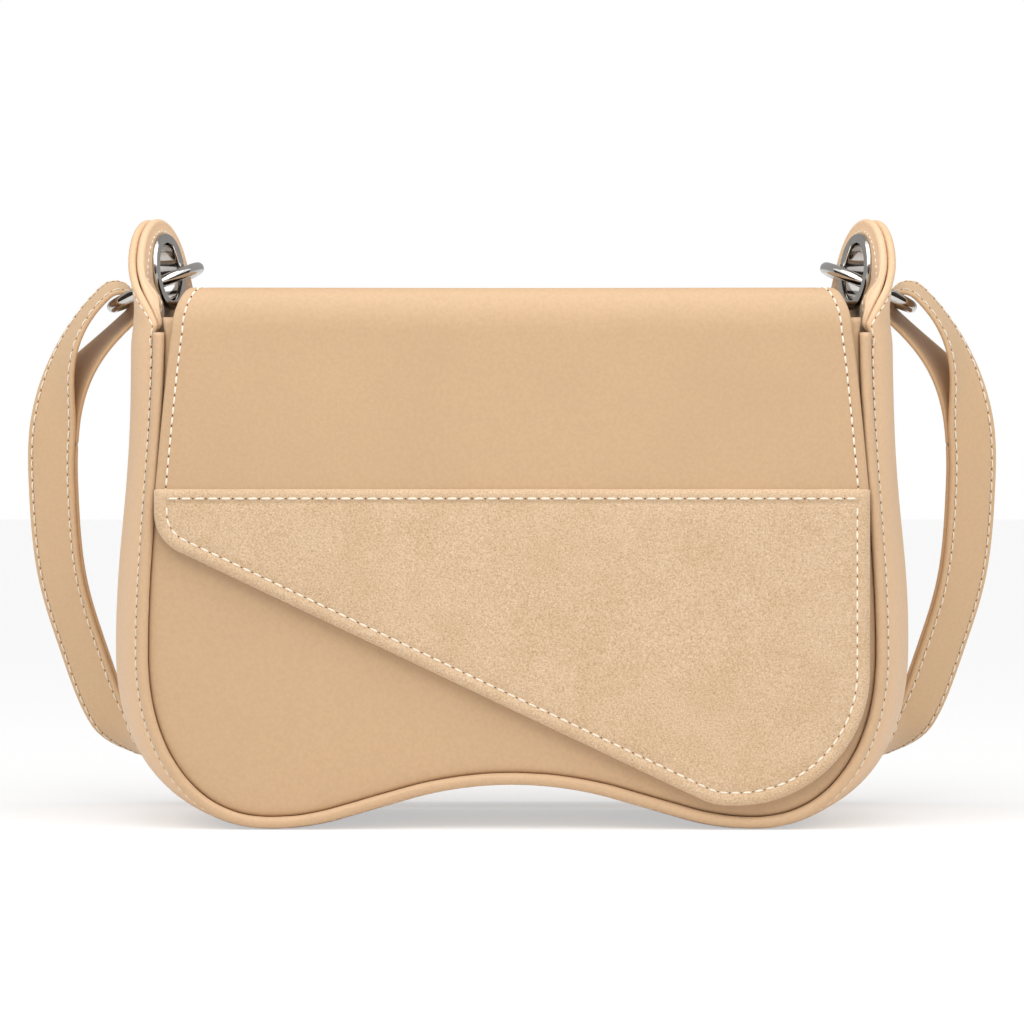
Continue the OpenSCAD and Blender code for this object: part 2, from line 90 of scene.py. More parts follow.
def smooth(t):
    """0 below 0 and 1 over 1, with a soft step between."""
    t = np.clip(t, 0, 1)
    return t * t * (3 - 2 * t)


def swell(v, low, rise, high, fall):
    """Rises softly from 0 to 1 above low, and falls back to 0 above high."""
    return smooth((v - low) / rise) * (1 - smooth((v - high) / fall))


def bead(d, at, size, width):
    """A rounded ridge, or a groove where size is negative, at one distance from an edge."""
    return size * np.exp(-((d - at) / width) ** 2)


def upright(p):
    """2-D points (x, z) of an upright plane as 3-D points."""
    return np.stack([p[:, 0], 0 * p[:, 0], p[:, 1]], 1)


def unit(v):
    """Vectors of length 1."""
    v = np.asarray(v, float)
    return v / np.maximum(np.linalg.norm(v, axis=-1, keepdims=True), 1e-12)


def lengths(line):
    """How far along a line, or along each row of a grid, every point lies."""
    step = np.linalg.norm(np.diff(line, axis=-2), axis=-1)
    return np.concatenate([0 * step[..., :1], np.cumsum(step, -1)], -1)


def from_ends(line):
    """How far each point of a line, or of a grid's rows, lies from the nearer end."""
    along = lengths(line)
    return np.minimum(along, along[..., -1:] - along)


def resample(line, step):
    """Points at equal distances along a line."""
    line, along = np.asarray(line, float), lengths(line)
    count = max(2, int(round(along[-1] / step)) + 1)
    at = np.linspace(0, along[-1], count)
    return np.stack([np.interp(at, along, line[:, k]) for k in range(line.shape[1])], 1)


def wobble(points, size, seed):
    """Smooth, repeatable unevenness: a sum of a few slow waves."""
    rng = np.random.RandomState(seed)
    total = np.zeros(len(points))
    for _ in range(5):
        wave = rng.normal(size=3)
        wave *= rng.uniform(0.6, 1.6) * 2 * math.pi / size / np.linalg.norm(wave)
        total += np.sin(points @ wave + rng.uniform(0, 2 * math.pi))
    return total / 5


def placed(name, data):
    """A new object in the scene."""
    obj = bpy.data.objects.new(name, data)
    bpy.context.scene.collection.objects.link(obj)
    return obj


def make(name, points, faces, material, body="bag", slot=None, replaces=(), ride=True):
    """A closed piece from millimetre points, with its faces turned outward, tied to a body, hiding the CAD
    nodes that it stands in for.
    """
    mesh = bpy.data.meshes.new(name)
    mesh.from_pydata([tuple(p) for p in row_frame(points)], [],
                     [tuple(int(i) for i in f) for f in faces])
    mesh.validate()
    bm = bmesh.new()
    bm.from_mesh(mesh)
    bmesh.ops.remove_doubles(bm, verts=bm.verts, dist=2e-6)
    bmesh.ops.recalc_face_normals(bm, faces=bm.faces)
    bm.to_mesh(mesh)
    bm.free()
    mesh.materials.append(material)
    mesh.polygons.foreach_set("use_smooth", [True] * len(mesh.polygons))
    obj = placed(name, mesh)
    if replaces:
        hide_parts(*replaces)
    if ride:
        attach(obj, body)
    return obj


def loft(rings):
    """Points and faces of a tube through closed rings of equally many points."""
    rings = np.asarray(rings, float)
    n, m = rings.shape[:2]
    faces = [(i * m + j, i * m + (j + 1) % m, (i + 1) * m + (j + 1) % m, (i + 1) * m + j)
             for i in range(n - 1) for j in range(m)]
    faces += [tuple(range(m - 1, -1, -1)), tuple((n - 1) * m + j for j in range(m))]
    return rings.reshape(-1, 3), faces


def joined(lofts):
    """Points and faces of several lofts as one piece."""
    points, faces = [], []
    for p, f in lofts:
        faces += [tuple(k + len(points) for k in face) for face in f]
        points += list(p)
    return points, faces


def edge_height(d, radius):
    """Thickness at a distance d from a rounded edge, as a share of the full thickness."""
    return np.sqrt(np.clip(1 - (1 - np.clip(d / radius, 0, 1)) ** 2, 0, 1))


def layer(surface, normals, thick, edge, edge_radius):
    """A closed layer of leather under a grid of points, whose distances from the layer's edge are in edge."""
    thick = np.asarray(thick, float)[..., None]
    half = thick / 2 * edge_height(edge, edge_radius)[..., None]
    middle = surface - normals * thick / 2
    top, under = middle + normals * half, middle - normals * half
    return loft(np.concatenate([top, under[:, -2:0:-1]], 1))


def inside(p, outline):
    """Which of the 2-D points lie inside a closed outline."""
    x, y = p[:, 0][:, None], p[:, 1][:, None]
    a, b = outline, np.roll(outline, -1, 0)
    cross = ((a[:, 1] > y) != (b[:, 1] > y)) & (
        x < (b[:, 0] - a[:, 0]) * (y - a[:, 1]) / (b[:, 1] - a[:, 1] + 1e-12) + a[:, 0])
    return cross.sum(1) % 2 == 1


def distance(p, outline):
    """How far 2-D points lie from a closed outline."""
    a, b = outline, np.roll(outline, -1, 0)
    d = b - a
    t = np.clip(((p[:, None] - a) * d).sum(2) / ((d * d).sum(1) + 1e-12), 0, 1)
    return np.linalg.norm(p[:, None] - (a + t[..., None] * d), axis=2).min(1)


def closed_resample(outline, step):
    """Points at equal distances along a closed outline."""
    return resample(np.vstack([outline, outline[:1]]), step)[:-1]


def inset(outline, d):
    """An anticlockwise outline moved inward, without the points that fold over at a corner."""
    ahead, behind = np.roll(outline, -1, 0), np.roll(outline, 1, 0)
    t = unit(ahead - behind)
    moved = outline + np.stack([-t[:, 1], t[:, 0]], 1) * d
    return moved[(distance(moved, outline) > d * 0.97) & inside(moved, outline)]


def anticlockwise(outline):
    """The outline, turned round if it runs clockwise."""
    outline = np.asarray(outline, float)
    x, y = outline[:, 0], outline[:, 1]
    return outline if (x * np.roll(y, -1) - y * np.roll(x, -1)).sum() > 0 else outline[::-1]


PLATE_RINGS = (0.15, 0.5, 1.1, 1.9, 2.8, 3.4, 4.0, 4.6, 5.6, 7.5)
PLATE_EDGE_STEP = 1.2


def plate(outline, thick, edge_radius, crown, step, rings=PLATE_RINGS):
    """A closed flat piece with a round edge, as 2-D points, heights and faces. crown(d, p) gives what its upper
    face rises at points p, a distance d from the edge."""
    outline = closed_resample(anticlockwise(outline), PLATE_EDGE_STEP)
    levels = [outline] + [inset(outline, d) for d in rings]
    lo, hi = outline.min(0), outline.max(0)
    gx, gy = np.meshgrid(np.arange(lo[0], hi[0], step), np.arange(lo[1], hi[1], step))
    grid = np.stack([gx.ravel(), gy.ravel()], 1)
    grid = grid[inside(grid, outline)]
    grid = grid[distance(grid, outline) > rings[-1] + step * 0.5]
    points = np.vstack(levels + [grid])
    n = len(outline)
    made = geometry.delaunay_2d_cdt([tuple(p) for p in points], [(i, (i + 1) % n) for i in range(n)],
                                    [], 1, 1e-6)
    flat = np.array([tuple(v) for v in made[0]])
    tri = [tuple(f) for f in made[2]]
    d = distance(flat, outline)
    d[d < 1e-4] = 0
    rim = d == 0
    count = len(flat)
    low = np.where(rim, np.arange(count), count + np.cumsum(~rim) - 1)
    faces = tri + [(low[c], low[b], low[a]) for a, b, c in tri]
    half = thick / 2 * edge_height(d, edge_radius)
    heights = np.concatenate([half + crown(d, flat), -half[~rim]])
    return np.vstack([flat, flat[~rim]]), heights, faces


# Materials.

WHITE = (1.0, 1.0, 1.0)
THREADS_PER_METRE = 1150


def link(a, b):
    """Links two sockets; id_data is the node tree that a socket is in."""
    a.id_data.links.new(a, b)


def settings(node, **values):
    """Sets or links a node's inputs, named as in Blender but with _ for a space."""
    for name, value in values.items():
        socket = node.inputs[name.replace("_", " ")]
        if isinstance(value, bpy.types.NodeSocket):
            link(value, socket)
        else:
            socket.default_value = value


def added(socket, kind, **values):
    """A new node in the same tree as a socket."""
    node = socket.id_data.nodes.new("ShaderNode" + kind)
    settings(node, **values)
    return node


def new_material(name, colour):
    """A new material with its shader, the object's own coordinates and the colour to work from."""
    mat = bpy.data.materials.new(name)
    mat.use_nodes = True
    nodes = mat.node_tree.nodes
    nodes.clear()
    out, shader, coords = (nodes.new("ShaderNode" + kind)
                           for kind in ("OutputMaterial", "BsdfPrincipled", "TexCoord"))
    link(shader.outputs[0], out.inputs[0])
    return mat, shader, coords.outputs["Object"], np.array(colour)


def noise_node(coords, scale, detail=4.0, rough=0.55, stretch=None, distort=0.0):
    if stretch:
        coords = added(coords, "Mapping", Vector=coords, Scale=stretch).outputs[0]
    return added(coords, "TexNoise", Vector=coords, Scale=scale, Detail=detail, Roughness=rough,
                 Distortion=distort).outputs["Fac"]


def ramp(value, stops):
    """A value's colour, from (value, colour) stops."""
    node = added(value, "ValToRGB", Fac=value)
    elements = node.color_ramp.elements
    for element, (at, colour) in zip(elements, (stops[0], stops[-1])):
        element.position, element.color = at, (*colour, 1)
    for at, colour in stops[1:-1]:
        elements.new(at).color = (*colour, 1)
    return node.outputs[0]


def multiplied(a, b, amount):
    """Colour a, darkened by colour b."""
    node = added(a, "Mix")
    node.data_type, node.blend_type = "RGBA", "MULTIPLY"
    node.inputs[0].default_value = amount
    link(a, node.inputs[6])
    link(b, node.inputs[7])
    return node.outputs[2]


def span(value, low, high):
    """A value from 0 to 1, spread from low to high."""
    return added(value, "MapRange", Value=value, To_Min=low, To_Max=high).outputs[0]


def bump(height, strength, depth, **under):
    """A shader's normal; under holds the Normal that this bump lies on."""
    return added(height, "Bump", Height=height, Strength=strength, Distance=depth, **under).outputs[0]


def leather(name, colour, rough=(0.42, 0.56)):
    """Smooth, finely grained leather: slow clouds of colour, pores and a fine crease net."""
    mat, shader, at, c = new_material(name, colour)
    clouds = noise_node(at, 28, 3, 0.5)
    pores = noise_node(at, 900, 2, 0.6)
    base = ramp(clouds, [(0.3, c * 0.98), (0.5, c), (0.72, np.minimum(c * 1.015, 1))])
    fine = ramp(pores, [(0.35, [0.90] * 3), (0.62, WHITE)])
    net = added(at, "TexVoronoi", Vector=at, Scale=1100)
    net.feature = "DISTANCE_TO_EDGE"
    creases = noise_node(at, 420, 5, 0.6, (1.0, 1.0, 1.6), 0.4)
    first = bump(net.outputs["Distance"], 0.22, 0.00012)
    second = bump(creases, 0.30, 0.00016, Normal=first)
    settings(shader, Base_Color=multiplied(base, fine, 0.55), Roughness=span(clouds, *rough),
             Normal=bump(noise_node(at, 60, 2, 0.5), 0.25, 0.0006, Normal=second),
             Specular_IOR_Level=0.38, Sheen_Weight=0.06, Sheen_Roughness=0.5)
    return mat


def suede(name, colour):
    """Napped leather: soft mottling, short fibres and a pale sheen."""
    mat, shader, at, c = new_material(name, colour)
    nap = noise_node(at, 2000, 3, 0.6, (1, 1, 1.15), 0.3)
    patches = noise_node(at, 70, 3, 0.6)
    fibre = noise_node(at, 1500, 3, 0.7)
    base = ramp(nap, [(0.34, c * [0.76, 0.68, 0.59]), (0.46, c * [0.96, 0.94, 0.91]), (0.56, c),
                      (0.68, np.minimum(c * [1.18, 1.24, 1.32], 1))])
    slow = ramp(patches, [(0.38, (0.93, 0.90, 0.86)), (0.58, WHITE)])
    speck = ramp(fibre, [(0.36, (0.86, 0.80, 0.74)), (0.6, WHITE)])
    settings(shader, Base_Color=multiplied(multiplied(base, slow, 0.7), speck, 0.5),
             Roughness=span(nap, 0.86, 0.98), Normal=bump(nap, 0.45, 0.0005, Normal=bump(fibre, 0.5, 0.00016)),
             Specular_IOR_Level=0.12, Sheen_Weight=0.30, Sheen_Roughness=0.6, Sheen_Tint=(1.0, 0.93, 0.84, 1))
    return mat


def woven(name, colour):
    """Plain-woven lining cloth: two crossed sets of threads."""
    mat, shader, at, c = new_material(name, colour)
    both = added(at, "Math")
    both.operation = "MULTIPLY"
    for axis, socket in zip("XZ", both.inputs):
        wave = added(at, "TexWave", Vector=at, Scale=THREADS_PER_METRE / (2 * math.pi), Distortion=0.8)
        wave.bands_direction = axis
        link(wave.outputs["Fac"], socket)
    cloth = both.outputs[0]
    clouds = noise_node(at, 45, 4)
    base = ramp(clouds, [(0.3, c * 0.9), (0.7, c)])
    thread = ramp(cloth, [(0.0, [0.72] * 3), (0.7, WHITE)])
    settings(shader, Base_Color=multiplied(base, thread, 0.7), Roughness=span(clouds, 0.78, 0.9),
             Normal=bump(cloth, 0.4, 0.0002), Sheen_Weight=0.2)
    return mat


def thread_material(name, colour):
    mat, shader, at, c = new_material(name, colour)
    twist = noise_node(at, 2600, 2, 0.5, (1, 1, 0.5))
    settings(shader, Base_Color=ramp(twist, [(0.35, c * 0.86), (0.6, c)]), Normal=bump(twist, 0.5, 0.00008),
             Roughness=0.62, Sheen_Weight=0.25)
    return mat


def hole_material(name, colour):
    """The shadowed leather in a needle hole."""
    mat, shader, at, c = new_material(name, colour)
    settings(shader, Base_Color=ramp(noise_node(at, 1800), [(0.3, c * 0.7), (0.7, c)]), Roughness=0.9)
    return mat


def metal(name, colour, rough):
    """Plated metal with faint hand marks and hairlines."""
    mat, shader, at, c = new_material(name, colour)
    marks = noise_node(at, 120, 4, 0.6)
    hair = noise_node(at, 900, 3, 0.6, (1, 0.12, 1))
    settings(shader, Base_Color=ramp(marks, [(0.3, c * 0.85), (0.7, c)]), Roughness=span(marks, *rough),
             Normal=bump(hair, 0.06, 0.00005), Metallic=1.0)
    return mat


smooth_leather = leather("smooth_leather", (0.560, 0.370, 0.213))
# Painted light: the gusset and outer ears take the panels' leather made lighter, to stand in for the side light
# that their side-facing faces lack.
gusset_leather_painted_light = leather("gusset_leather_painted_light", (0.715, 0.482, 0.288))
rim_leather = leather("rim_leather", (0.60, 0.40, 0.235), (0.38, 0.5))
# Painted light: the ears' facings take the same leather made much lighter, a painted highlight for the light
# that falls on them from above and the side.
ear_leather = leather("ear_leather", (0.74, 0.51, 0.315))
# Painted light: the strap takes the panels' leather made lighter, to stand in for the light that its
# side-facing faces lack.
strap_leather = leather("strap_leather", (0.655, 0.437, 0.248))
suede_leather = suede("suede_leather", (0.645, 0.472, 0.31))
lining_cloth = woven("lining_cloth", (0.58, 0.44, 0.29))
cream_thread = thread_material("cream_thread", (0.90, 0.80, 0.66))
needle_hole = hole_material("needle_hole", (0.10, 0.05, 0.025))
soft_hole = hole_material("soft_hole", (0.30, 0.17, 0.085))
grommet_metal = metal("grommet_metal", (0.54, 0.51, 0.48), (0.05, 0.12))
ring_metal = metal("ring_metal", (0.66, 0.635, 0.61), (0.06, 0.13))
magnet_metal = metal("magnet_metal", (0.5, 0.5, 0.5), (0.25, 0.4))


# The seam between panels and gusset.

# The lobe's arc runs straight on into the arch's arc. LOBE_SHARE of their radii's sum is the lobe's.
ARC_CUT, LOBE_SHARE, CORNER_EXP = 0.92, 0.36, 2.2
arc_sum = ARC_CUT * (LOBE_X ** 2 + ARCH_RISE ** 2) / (2 * ARCH_RISE)
lobe_r = arc_sum * LOBE_SHARE
arch_r = arc_sum - lobe_r
arc_turn = math.atan2(LOBE_X, arc_sum - ARCH_RISE) - math.acos(
    arc_sum / math.hypot(LOBE_X, arc_sum - ARCH_RISE))
SIDE_STEPS, CORNER_STEPS, ARC_STEPS, ARCH_STEPS = 44, 56, 14, 20


def seam(top_half):
    """The seam in a panel's plane, from the left top down, through the arch and up to the right top."""
    z = SEAM_TOP_Z + (WIDE_Z - SEAM_TOP_Z) * np.arange(SIDE_STEPS) / SIDE_STEPS
    drawn_in = (PANEL_HALF - top_half) * smooth((z - WIDE_Z) / (SEAM_TOP_Z - WIDE_Z))
    side = np.stack([drawn_in - PANEL_HALF, z], 1)
    a = math.pi / 2 * np.arange(CORNER_STEPS) / CORNER_STEPS
    corner = np.stack([-LOBE_X - (PANEL_HALF - LOBE_X) * np.cos(a) ** (2 / CORNER_EXP),
                       WIDE_Z - (WIDE_Z - LOBE_Z) * np.sin(a) ** (2 / CORNER_EXP)], 1)
    a = arc_turn * np.arange(ARC_STEPS + 1) / ARC_STEPS
    lobe = np.stack([-LOBE_X + lobe_r * np.sin(a), LOBE_Z + lobe_r * (1 - np.cos(a))], 1)
    a = arc_turn * (1 - np.arange(1, ARCH_STEPS + 1) / ARCH_STEPS)
    arch = np.stack([-arch_r * np.sin(a), LOBE_Z + ARCH_RISE - arch_r * (1 - np.cos(a))], 1)
    half = np.vstack([side, corner, lobe, arch])
    return np.vstack([half, half[-2::-1] * [-1, 1]])


def seam_normals(line):
    """Outward directions along the seam."""
    t = np.empty_like(line)
    t[1:-1] = line[2:] - line[:-2]
    t[0], t[-1] = line[1] - line[0], line[-1] - line[-2]
    t = unit(t)
    return np.stack([t[:, 1], -t[:, 0]], 1)


front_seam, back_seam = seam(FRONT_TOP_HALF), seam(BACK_TOP_HALF)
front_n, back_n = seam_normals(front_seam), seam_normals(back_seam)
HALF_D = BODY_D / 2

# Gusset and ears: one strip of leather.

ear_turned = np.array([[math.cos(EAR_TURN), math.sin(EAR_TURN), 0],
                       [-math.sin(EAR_TURN), math.cos(EAR_TURN), 0], [0, 0, 1]])
ear_leaned = np.array([[math.cos(EAR_LEAN), 0, -math.sin(EAR_LEAN)], [0, 1, 0],
                       [math.sin(EAR_LEAN), 0, math.cos(EAR_LEAN)]])
ear_axes = ear_turned @ ear_leaned
EAR_IN, EAR_BACK, EAR_UP = ear_axes[:, 0], ear_axes[:, 1], ear_axes[:, 2]
COLUMNS = 41
BULGE, BULGE_FROM_Z, BULGE_SKEW = 9.4, 90, 0.72
EDGE_LEAD, EDGE_LEAD_RUN = 0.8, 1.6
NECK_HALF, UNEVEN = 31.5, 0.35
HEAD_LOW_B = -EAR_DROP + EAR_R * math.sin(EAR_FLARE)
JOIN_LOW, JOIN_HIGH = 147.0, 178.0
across = (1 - np.cos(np.linspace(0, math.pi, COLUMNS))) / 2


def gusset_rows():
    """Outer surface of the gusset: rows along the seam, columns from the front edge to the back edge."""
    y0, y1 = -HALF_D + SEAM_IN, HALF_D - SEAM_IN
    rise = smooth((front_seam[:, 1] - BULGE_FROM_Z) / (SEAM_TOP_Z - BULGE_FROM_Z))[:, None]
    w = across[None] ** (1 + (BULGE_SKEW - 1) * rise)
    bulge = BULGE * np.abs(front_n[:, 0])[:, None] ** 2 * np.sin(np.pi * w) ** 0.8
    lead = EDGE_LEAD * (np.exp(-(across * BODY_D / EDGE_LEAD_RUN))
                        + np.exp(-((1 - across) * BODY_D / EDGE_LEAD_RUN)))[None]
    off = GUSSET_OFF + bulge - lead
    xz = (front_seam[:, None] + (back_seam - front_seam)[:, None] * across[None, :, None]
          + front_n[:, None] * off[..., None])
    y = np.broadcast_to(y0 + (y1 - y0) * across, xz.shape[:2])
    return np.stack([xz[..., 0], y, np.maximum(xz[..., 1], 0.05)], 2)


def ear_half_width(b):
    """Half width of the left ear's outline at a height b over the grommet's centre."""
    head = np.sqrt(np.clip(EAR_R ** 2 - (b + EAR_DROP) ** 2, 0, None))
    neck = EAR_R / math.cos(EAR_FLARE) - (b + EAR_DROP) * math.tan(EAR_FLARE)
    return np.where(b > HEAD_LOW_B, head, np.minimum(neck, NECK_HALF))


def ear_plane(b):
    """Points of the ear's middle plane at height b, from its front edge to its back edge."""
    w = ear_half_width(np.array(b))
    a = -w + 2 * w * across
    return GROMMET + a[:, None] * EAR_BACK + b * EAR_UP


def ear_edge_distance(b):
    """How far the points of ear_plane() lie from the ear's outline."""
    w = float(ear_half_width(np.array(b)))
    a = np.abs(-w + 2 * w * across)
    if b > HEAD_LOW_B:
        return EAR_R - np.hypot(a, b + EAR_DROP)
    return (w - a) * math.cos(EAR_FLARE)


head_b = -EAR_DROP + EAR_R * np.sin(np.radians(np.linspace(90, 24, 26)))
neck_b = np.linspace(head_b[-1], (SEAM_TOP_Z - GROMMET[2]) / math.cos(EAR_LEAN), 20)[1:-1]

gusset_grid = gusset_rows()


# For swell(): where the ear's front edge sweeps over the rim, and where the facing's foot fills the corner.
SWEEP_Z, SWEEP_IN, SWEEP_RUN = (150, 6, 158, 22), 3.0, 7
FOOT_Z, FOOT_BACK = (146, 6, 160, 10), (0, 8, 16, 30)


def toward_ear(row, b):
    """A gusset row moved toward the ear's outer face at the ear's height b, and the ear's share in it."""
    share = float(smooth((GROMMET[2] + b * EAR_UP[2] - JOIN_LOW) / (JOIN_HIGH - JOIN_LOW)))
    return row * (1 - share) + (ear_plane(b) - EAR_IN * EAR_FACE) * share, share


def left_ear_rows():
    """The ear's outer face over the gusset's top, and each row's edge distances and share of the ear."""
    rows, edges, shares = [], [], []
    for b in np.concatenate([head_b, neck_b]):
        row, share = toward_ear(gusset_grid[0] + [0, 0, GROMMET[2] + b * EAR_UP[2] - SEAM_TOP_Z], b)
        rows.append(row)
        shares.append(share)
        edges.append(ear_edge_distance(b) * share + from_ends(row) * (1 - share))
    return np.array(rows), np.array(edges), np.array(shares)


def behind_front(grid):
    """How far points lie behind the gusset's front edge."""
    return np.maximum(grid[..., 1] + HALF_D - SEAM_IN, 0)


def led_to_rim(grid):
    """The left ear's front edge sweeps inward, over the top end of the rim."""
    k = swell(grid[..., 2], *SWEEP_Z) * np.exp(-behind_front(grid) / SWEEP_RUN)
    return grid + k[..., None] * np.array([SWEEP_IN, -SEAM_IN, 0])


def blended_gusset():
    """The gusset's top rows lean a little towards the ear, so that the two meet without a crease."""
    grid = gusset_grid.copy()
    for i in np.flatnonzero(front_seam[:SIDE_STEPS, 1] > JOIN_LOW):
        row, _ = toward_ear(grid[i], (front_seam[i, 1] - GROMMET[2]) / EAR_UP[2])
        grid[i] = led_to_rim(row)
    grid[-SIDE_STEPS:] = grid[:SIDE_STEPS][::-1] * [-1, 1, 1]
    return grid


ear_rows, ear_edges, ear_share = left_ear_rows()
ear_rows = led_to_rim(ear_rows)
gusset_grid = blended_gusset()
strip = np.concatenate([ear_rows, gusset_grid, ear_rows[::-1] * [-1, 1, 1]])
ear_count = len(ear_rows)
BAG_MIDDLE = np.array([0, 0, 95.0])


def grid_normals(grid):
    """The normals of a grid of points, away from the bag's middle."""
    n = unit(np.cross(np.gradient(grid, axis=0), np.gradient(grid, axis=1)))
    return n * np.sign(((grid - BAG_MIDDLE) * n).sum(2, keepdims=True).mean((0, 1)))


strip_normals = grid_normals(strip)
for rows, share, flip in ((slice(ear_count), ear_share, 1), (slice(-ear_count, None), ear_share[::-1], -1)):
    share, flat = share[:, None, None], -EAR_IN * [flip, 1, 1]
    strip_normals[rows] = unit(strip_normals[rows] * (1 - share) + flat * np.maximum(share, 0.02))
gusset_edges = from_ends(gusset_grid)
edges = np.concatenate([ear_edges, gusset_edges, ear_edges[::-1]])
share_at = np.concatenate([ear_share, np.interp(front_seam[:, 1], [JOIN_LOW, SEAM_TOP_Z], [0, ear_share[-1]]),
                           ear_share[::-1]])
thick = GUSSET_THICK + (EAR_THICK - GUSSET_THICK) * share_at[:, None]
row_in = GUSSET_ROW_IN + (EAR_ROW_IN - GUSSET_ROW_IN) * share_at
groove = bead(edges, row_in[:, None], 0.2, 0.6)
uneven = (UNEVEN * wobble(strip.reshape(-1, 3), 70, 3).reshape(edges.shape)
          * smooth((edges - 4) / 12) * (1 - share_at[:, None]))
surface = strip + strip_normals * (uneven - groove)[..., None]
pts, fcs = layer(surface, strip_normals, thick, edges, EAR_ROUND)
gusset = make("gusset_and_ears", pts, fcs, gusset_leather_painted_light, slot="smooth_leather",
              replaces=("gusset", "left_ear_outer", "right_ear_outer"), ride=False)


CUT_SIDES, CUT_HALF = 64, 9


def bored(obj):
    """Cuts the grommets' holes through a piece, which then rides on the bag."""
    turn = np.linspace(0, 2 * math.pi, CUT_SIDES, endpoint=False)
    a, b = HOLE_R * np.cos(turn)[:, None], HOLE_R * np.sin(turn)[:, None]
    hole = np.array([GROMMET + a * EAR_BACK + b * EAR_UP + c * EAR_IN for c in (-CUT_HALF, CUT_HALF)])
    cutters = [make("cutter", *loft(hole * [-side, 1, 1]), cream_thread, ride=False) for side, _ in SIDES]
    for cutter in cutters:
        mod = obj.modifiers.new("hole", "BOOLEAN")
        mod.operation, mod.solver, mod.object = "DIFFERENCE", "EXACT", cutter
    bpy.context.view_layer.update()
    cut = bpy.data.meshes.new_from_object(obj.evaluated_get(bpy.context.evaluated_depsgraph_get()))
    obj.modifiers.clear()
    obj.data = cut
    for cutter in cutters:
        bpy.data.objects.remove(cutter)
    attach(obj, "bag")


bored(gusset)


def facing_thick(rows, share):
    """The facing is thicker at its foot, where it fills the corner above the rim."""
    foot = swell(rows[..., 2], *FOOT_Z) * swell(behind_front(rows), *FOOT_BACK)
    return FACING_THIN + (FACING_THICK - FACING_THIN) * share + FACING_FOOT * foot


# Each ear's inner facing lies against the outer layer and runs down inside the gusset, to a thin tail.
facing_count = ear_count + SIDE_STEPS // 5
rows, norm = strip[:facing_count], strip_normals[:facing_count]
tail = np.concatenate([np.full(facing_count - 3, 9.0), [1.2, 0.6, 0.0]])[:, None]
edge = np.minimum(edges[:facing_count], tail)
thick_in = facing_thick(rows, share_at[:facing_count, None])
inner = rows - norm * (EAR_FACE + FACING_GAP) - norm * bead(edge, FACING_ROW_IN, 0.18, 0.6)[..., None]
for side, name in SIDES:
    mirror = np.array([-side, 1, 1])
    pts, fcs = layer(inner * mirror, norm * mirror, thick_in, edge, EAR_ROUND)
    bored(make(name + "_ear_facing_leather", pts, fcs, ear_leather, slot="ear_leather",
               replaces=(name + "_ear_facing", name + "_ear_board"), ride=False))


# Rims.

PIPING_R, PIPING_STEP, PIPING_SIDES = 1.8, 1.6, 16


def tube(line, radius):
    """A round tube along 3-D points."""
    t = unit(np.gradient(line, axis=0))
    u = unit(np.cross(t, [0.0, 1.0, 0.0]))
    v = np.cross(t, u)
    a = np.linspace(0, 2 * math.pi, PIPING_SIDES, endpoint=False)
    return loft(line[:, None] + radius[:, None, None] * (
        u[:, None] * np.cos(a)[None, :, None] + v[:, None] * np.sin(a)[None, :, None]))


for line, normal, y, name in ((front_seam, front_n, -HALF_D, "front"), (back_seam, back_n, HALF_D, "back")):
    path = resample(upright(line + normal * RIM_R) + [0, y, 0], PIPING_STEP)
    radius = PIPING_R + 0.06 * wobble(path, 9, 5) + 0.05 * wobble(path, 24, 6)
    make(name + "_rim_piping", *tube(path, radius), rim_leather, slot="rim_leather",
         replaces=(name + "_rim", name + "_rim_cord"))


# Panels and linings.

def seam_outline(line, normal, out, top=None, lean=4.0):
    """A panel's closed outline in the panel's plane."""
    moved = line + normal * out
    if top is None:
        return moved
    return np.vstack([[[moved[0, 0] + lean, top]], moved, [[moved[-1, 0] - lean, top]]])


def rounded(corners):
    """A closed outline from (x, z, radius) corners."""
    out = []
    for i, (*_, r) in enumerate(corners):
        a, p, b = (np.array(corners[k % len(corners)][:2], float) for k in (i - 1, i, i + 1))
        if r == 0:
            out.append(p)
            continue
        u, w = unit(a - p), unit(b - p)
        half = math.acos(float(u @ w)) / 2
        c = p + unit(u + w) * r / math.sin(half)
        s, e = p + u * r / math.tan(half) - c, p + w * r / math.tan(half) - c
        turn = math.atan2(s[0] * e[1] - s[1] * e[0], float(s @ e))
        start = math.atan2(s[1], s[0])
        t = start + np.linspace(0, turn, max(3, int(abs(turn) * r / 1.5)))
        out.extend(c + r * np.stack([np.cos(t), np.sin(t)], 1))
    return np.array(out)


def upright_plate(name, outline, y, thick, material, crown, facing=-1, edge_radius=0.9, step=4.0, **more):
    """A flat piece in a panel's plane: y is its middle, and its shaped face looks to the side of facing."""
    flat, height, faces = plate(outline, thick, edge_radius, crown, step)
    pts = np.stack([flat[:, 0], y + facing * height, flat[:, 1]], 1)
    make(name, pts, faces, material, **more)


FRONT_TOP_Z, PANEL_OUT, PANEL_Y = 157.5, 0.4, HALF_D - PANEL_THICK / 2
LINING_Y, LINING_IN = 29.45, 2.0


def panel_crown(d, p):
    """Slight unevenness, and a dip where the panel meets the rim."""
    return 0.16 * wobble(upright(p), 85, 11) * smooth(d / 12) - 1.0 * np.exp(-d / 1.1)


def cloth_crown(d, p):
    return 0.25 * wobble(upright(p), 40, 21) * smooth(d / 10)


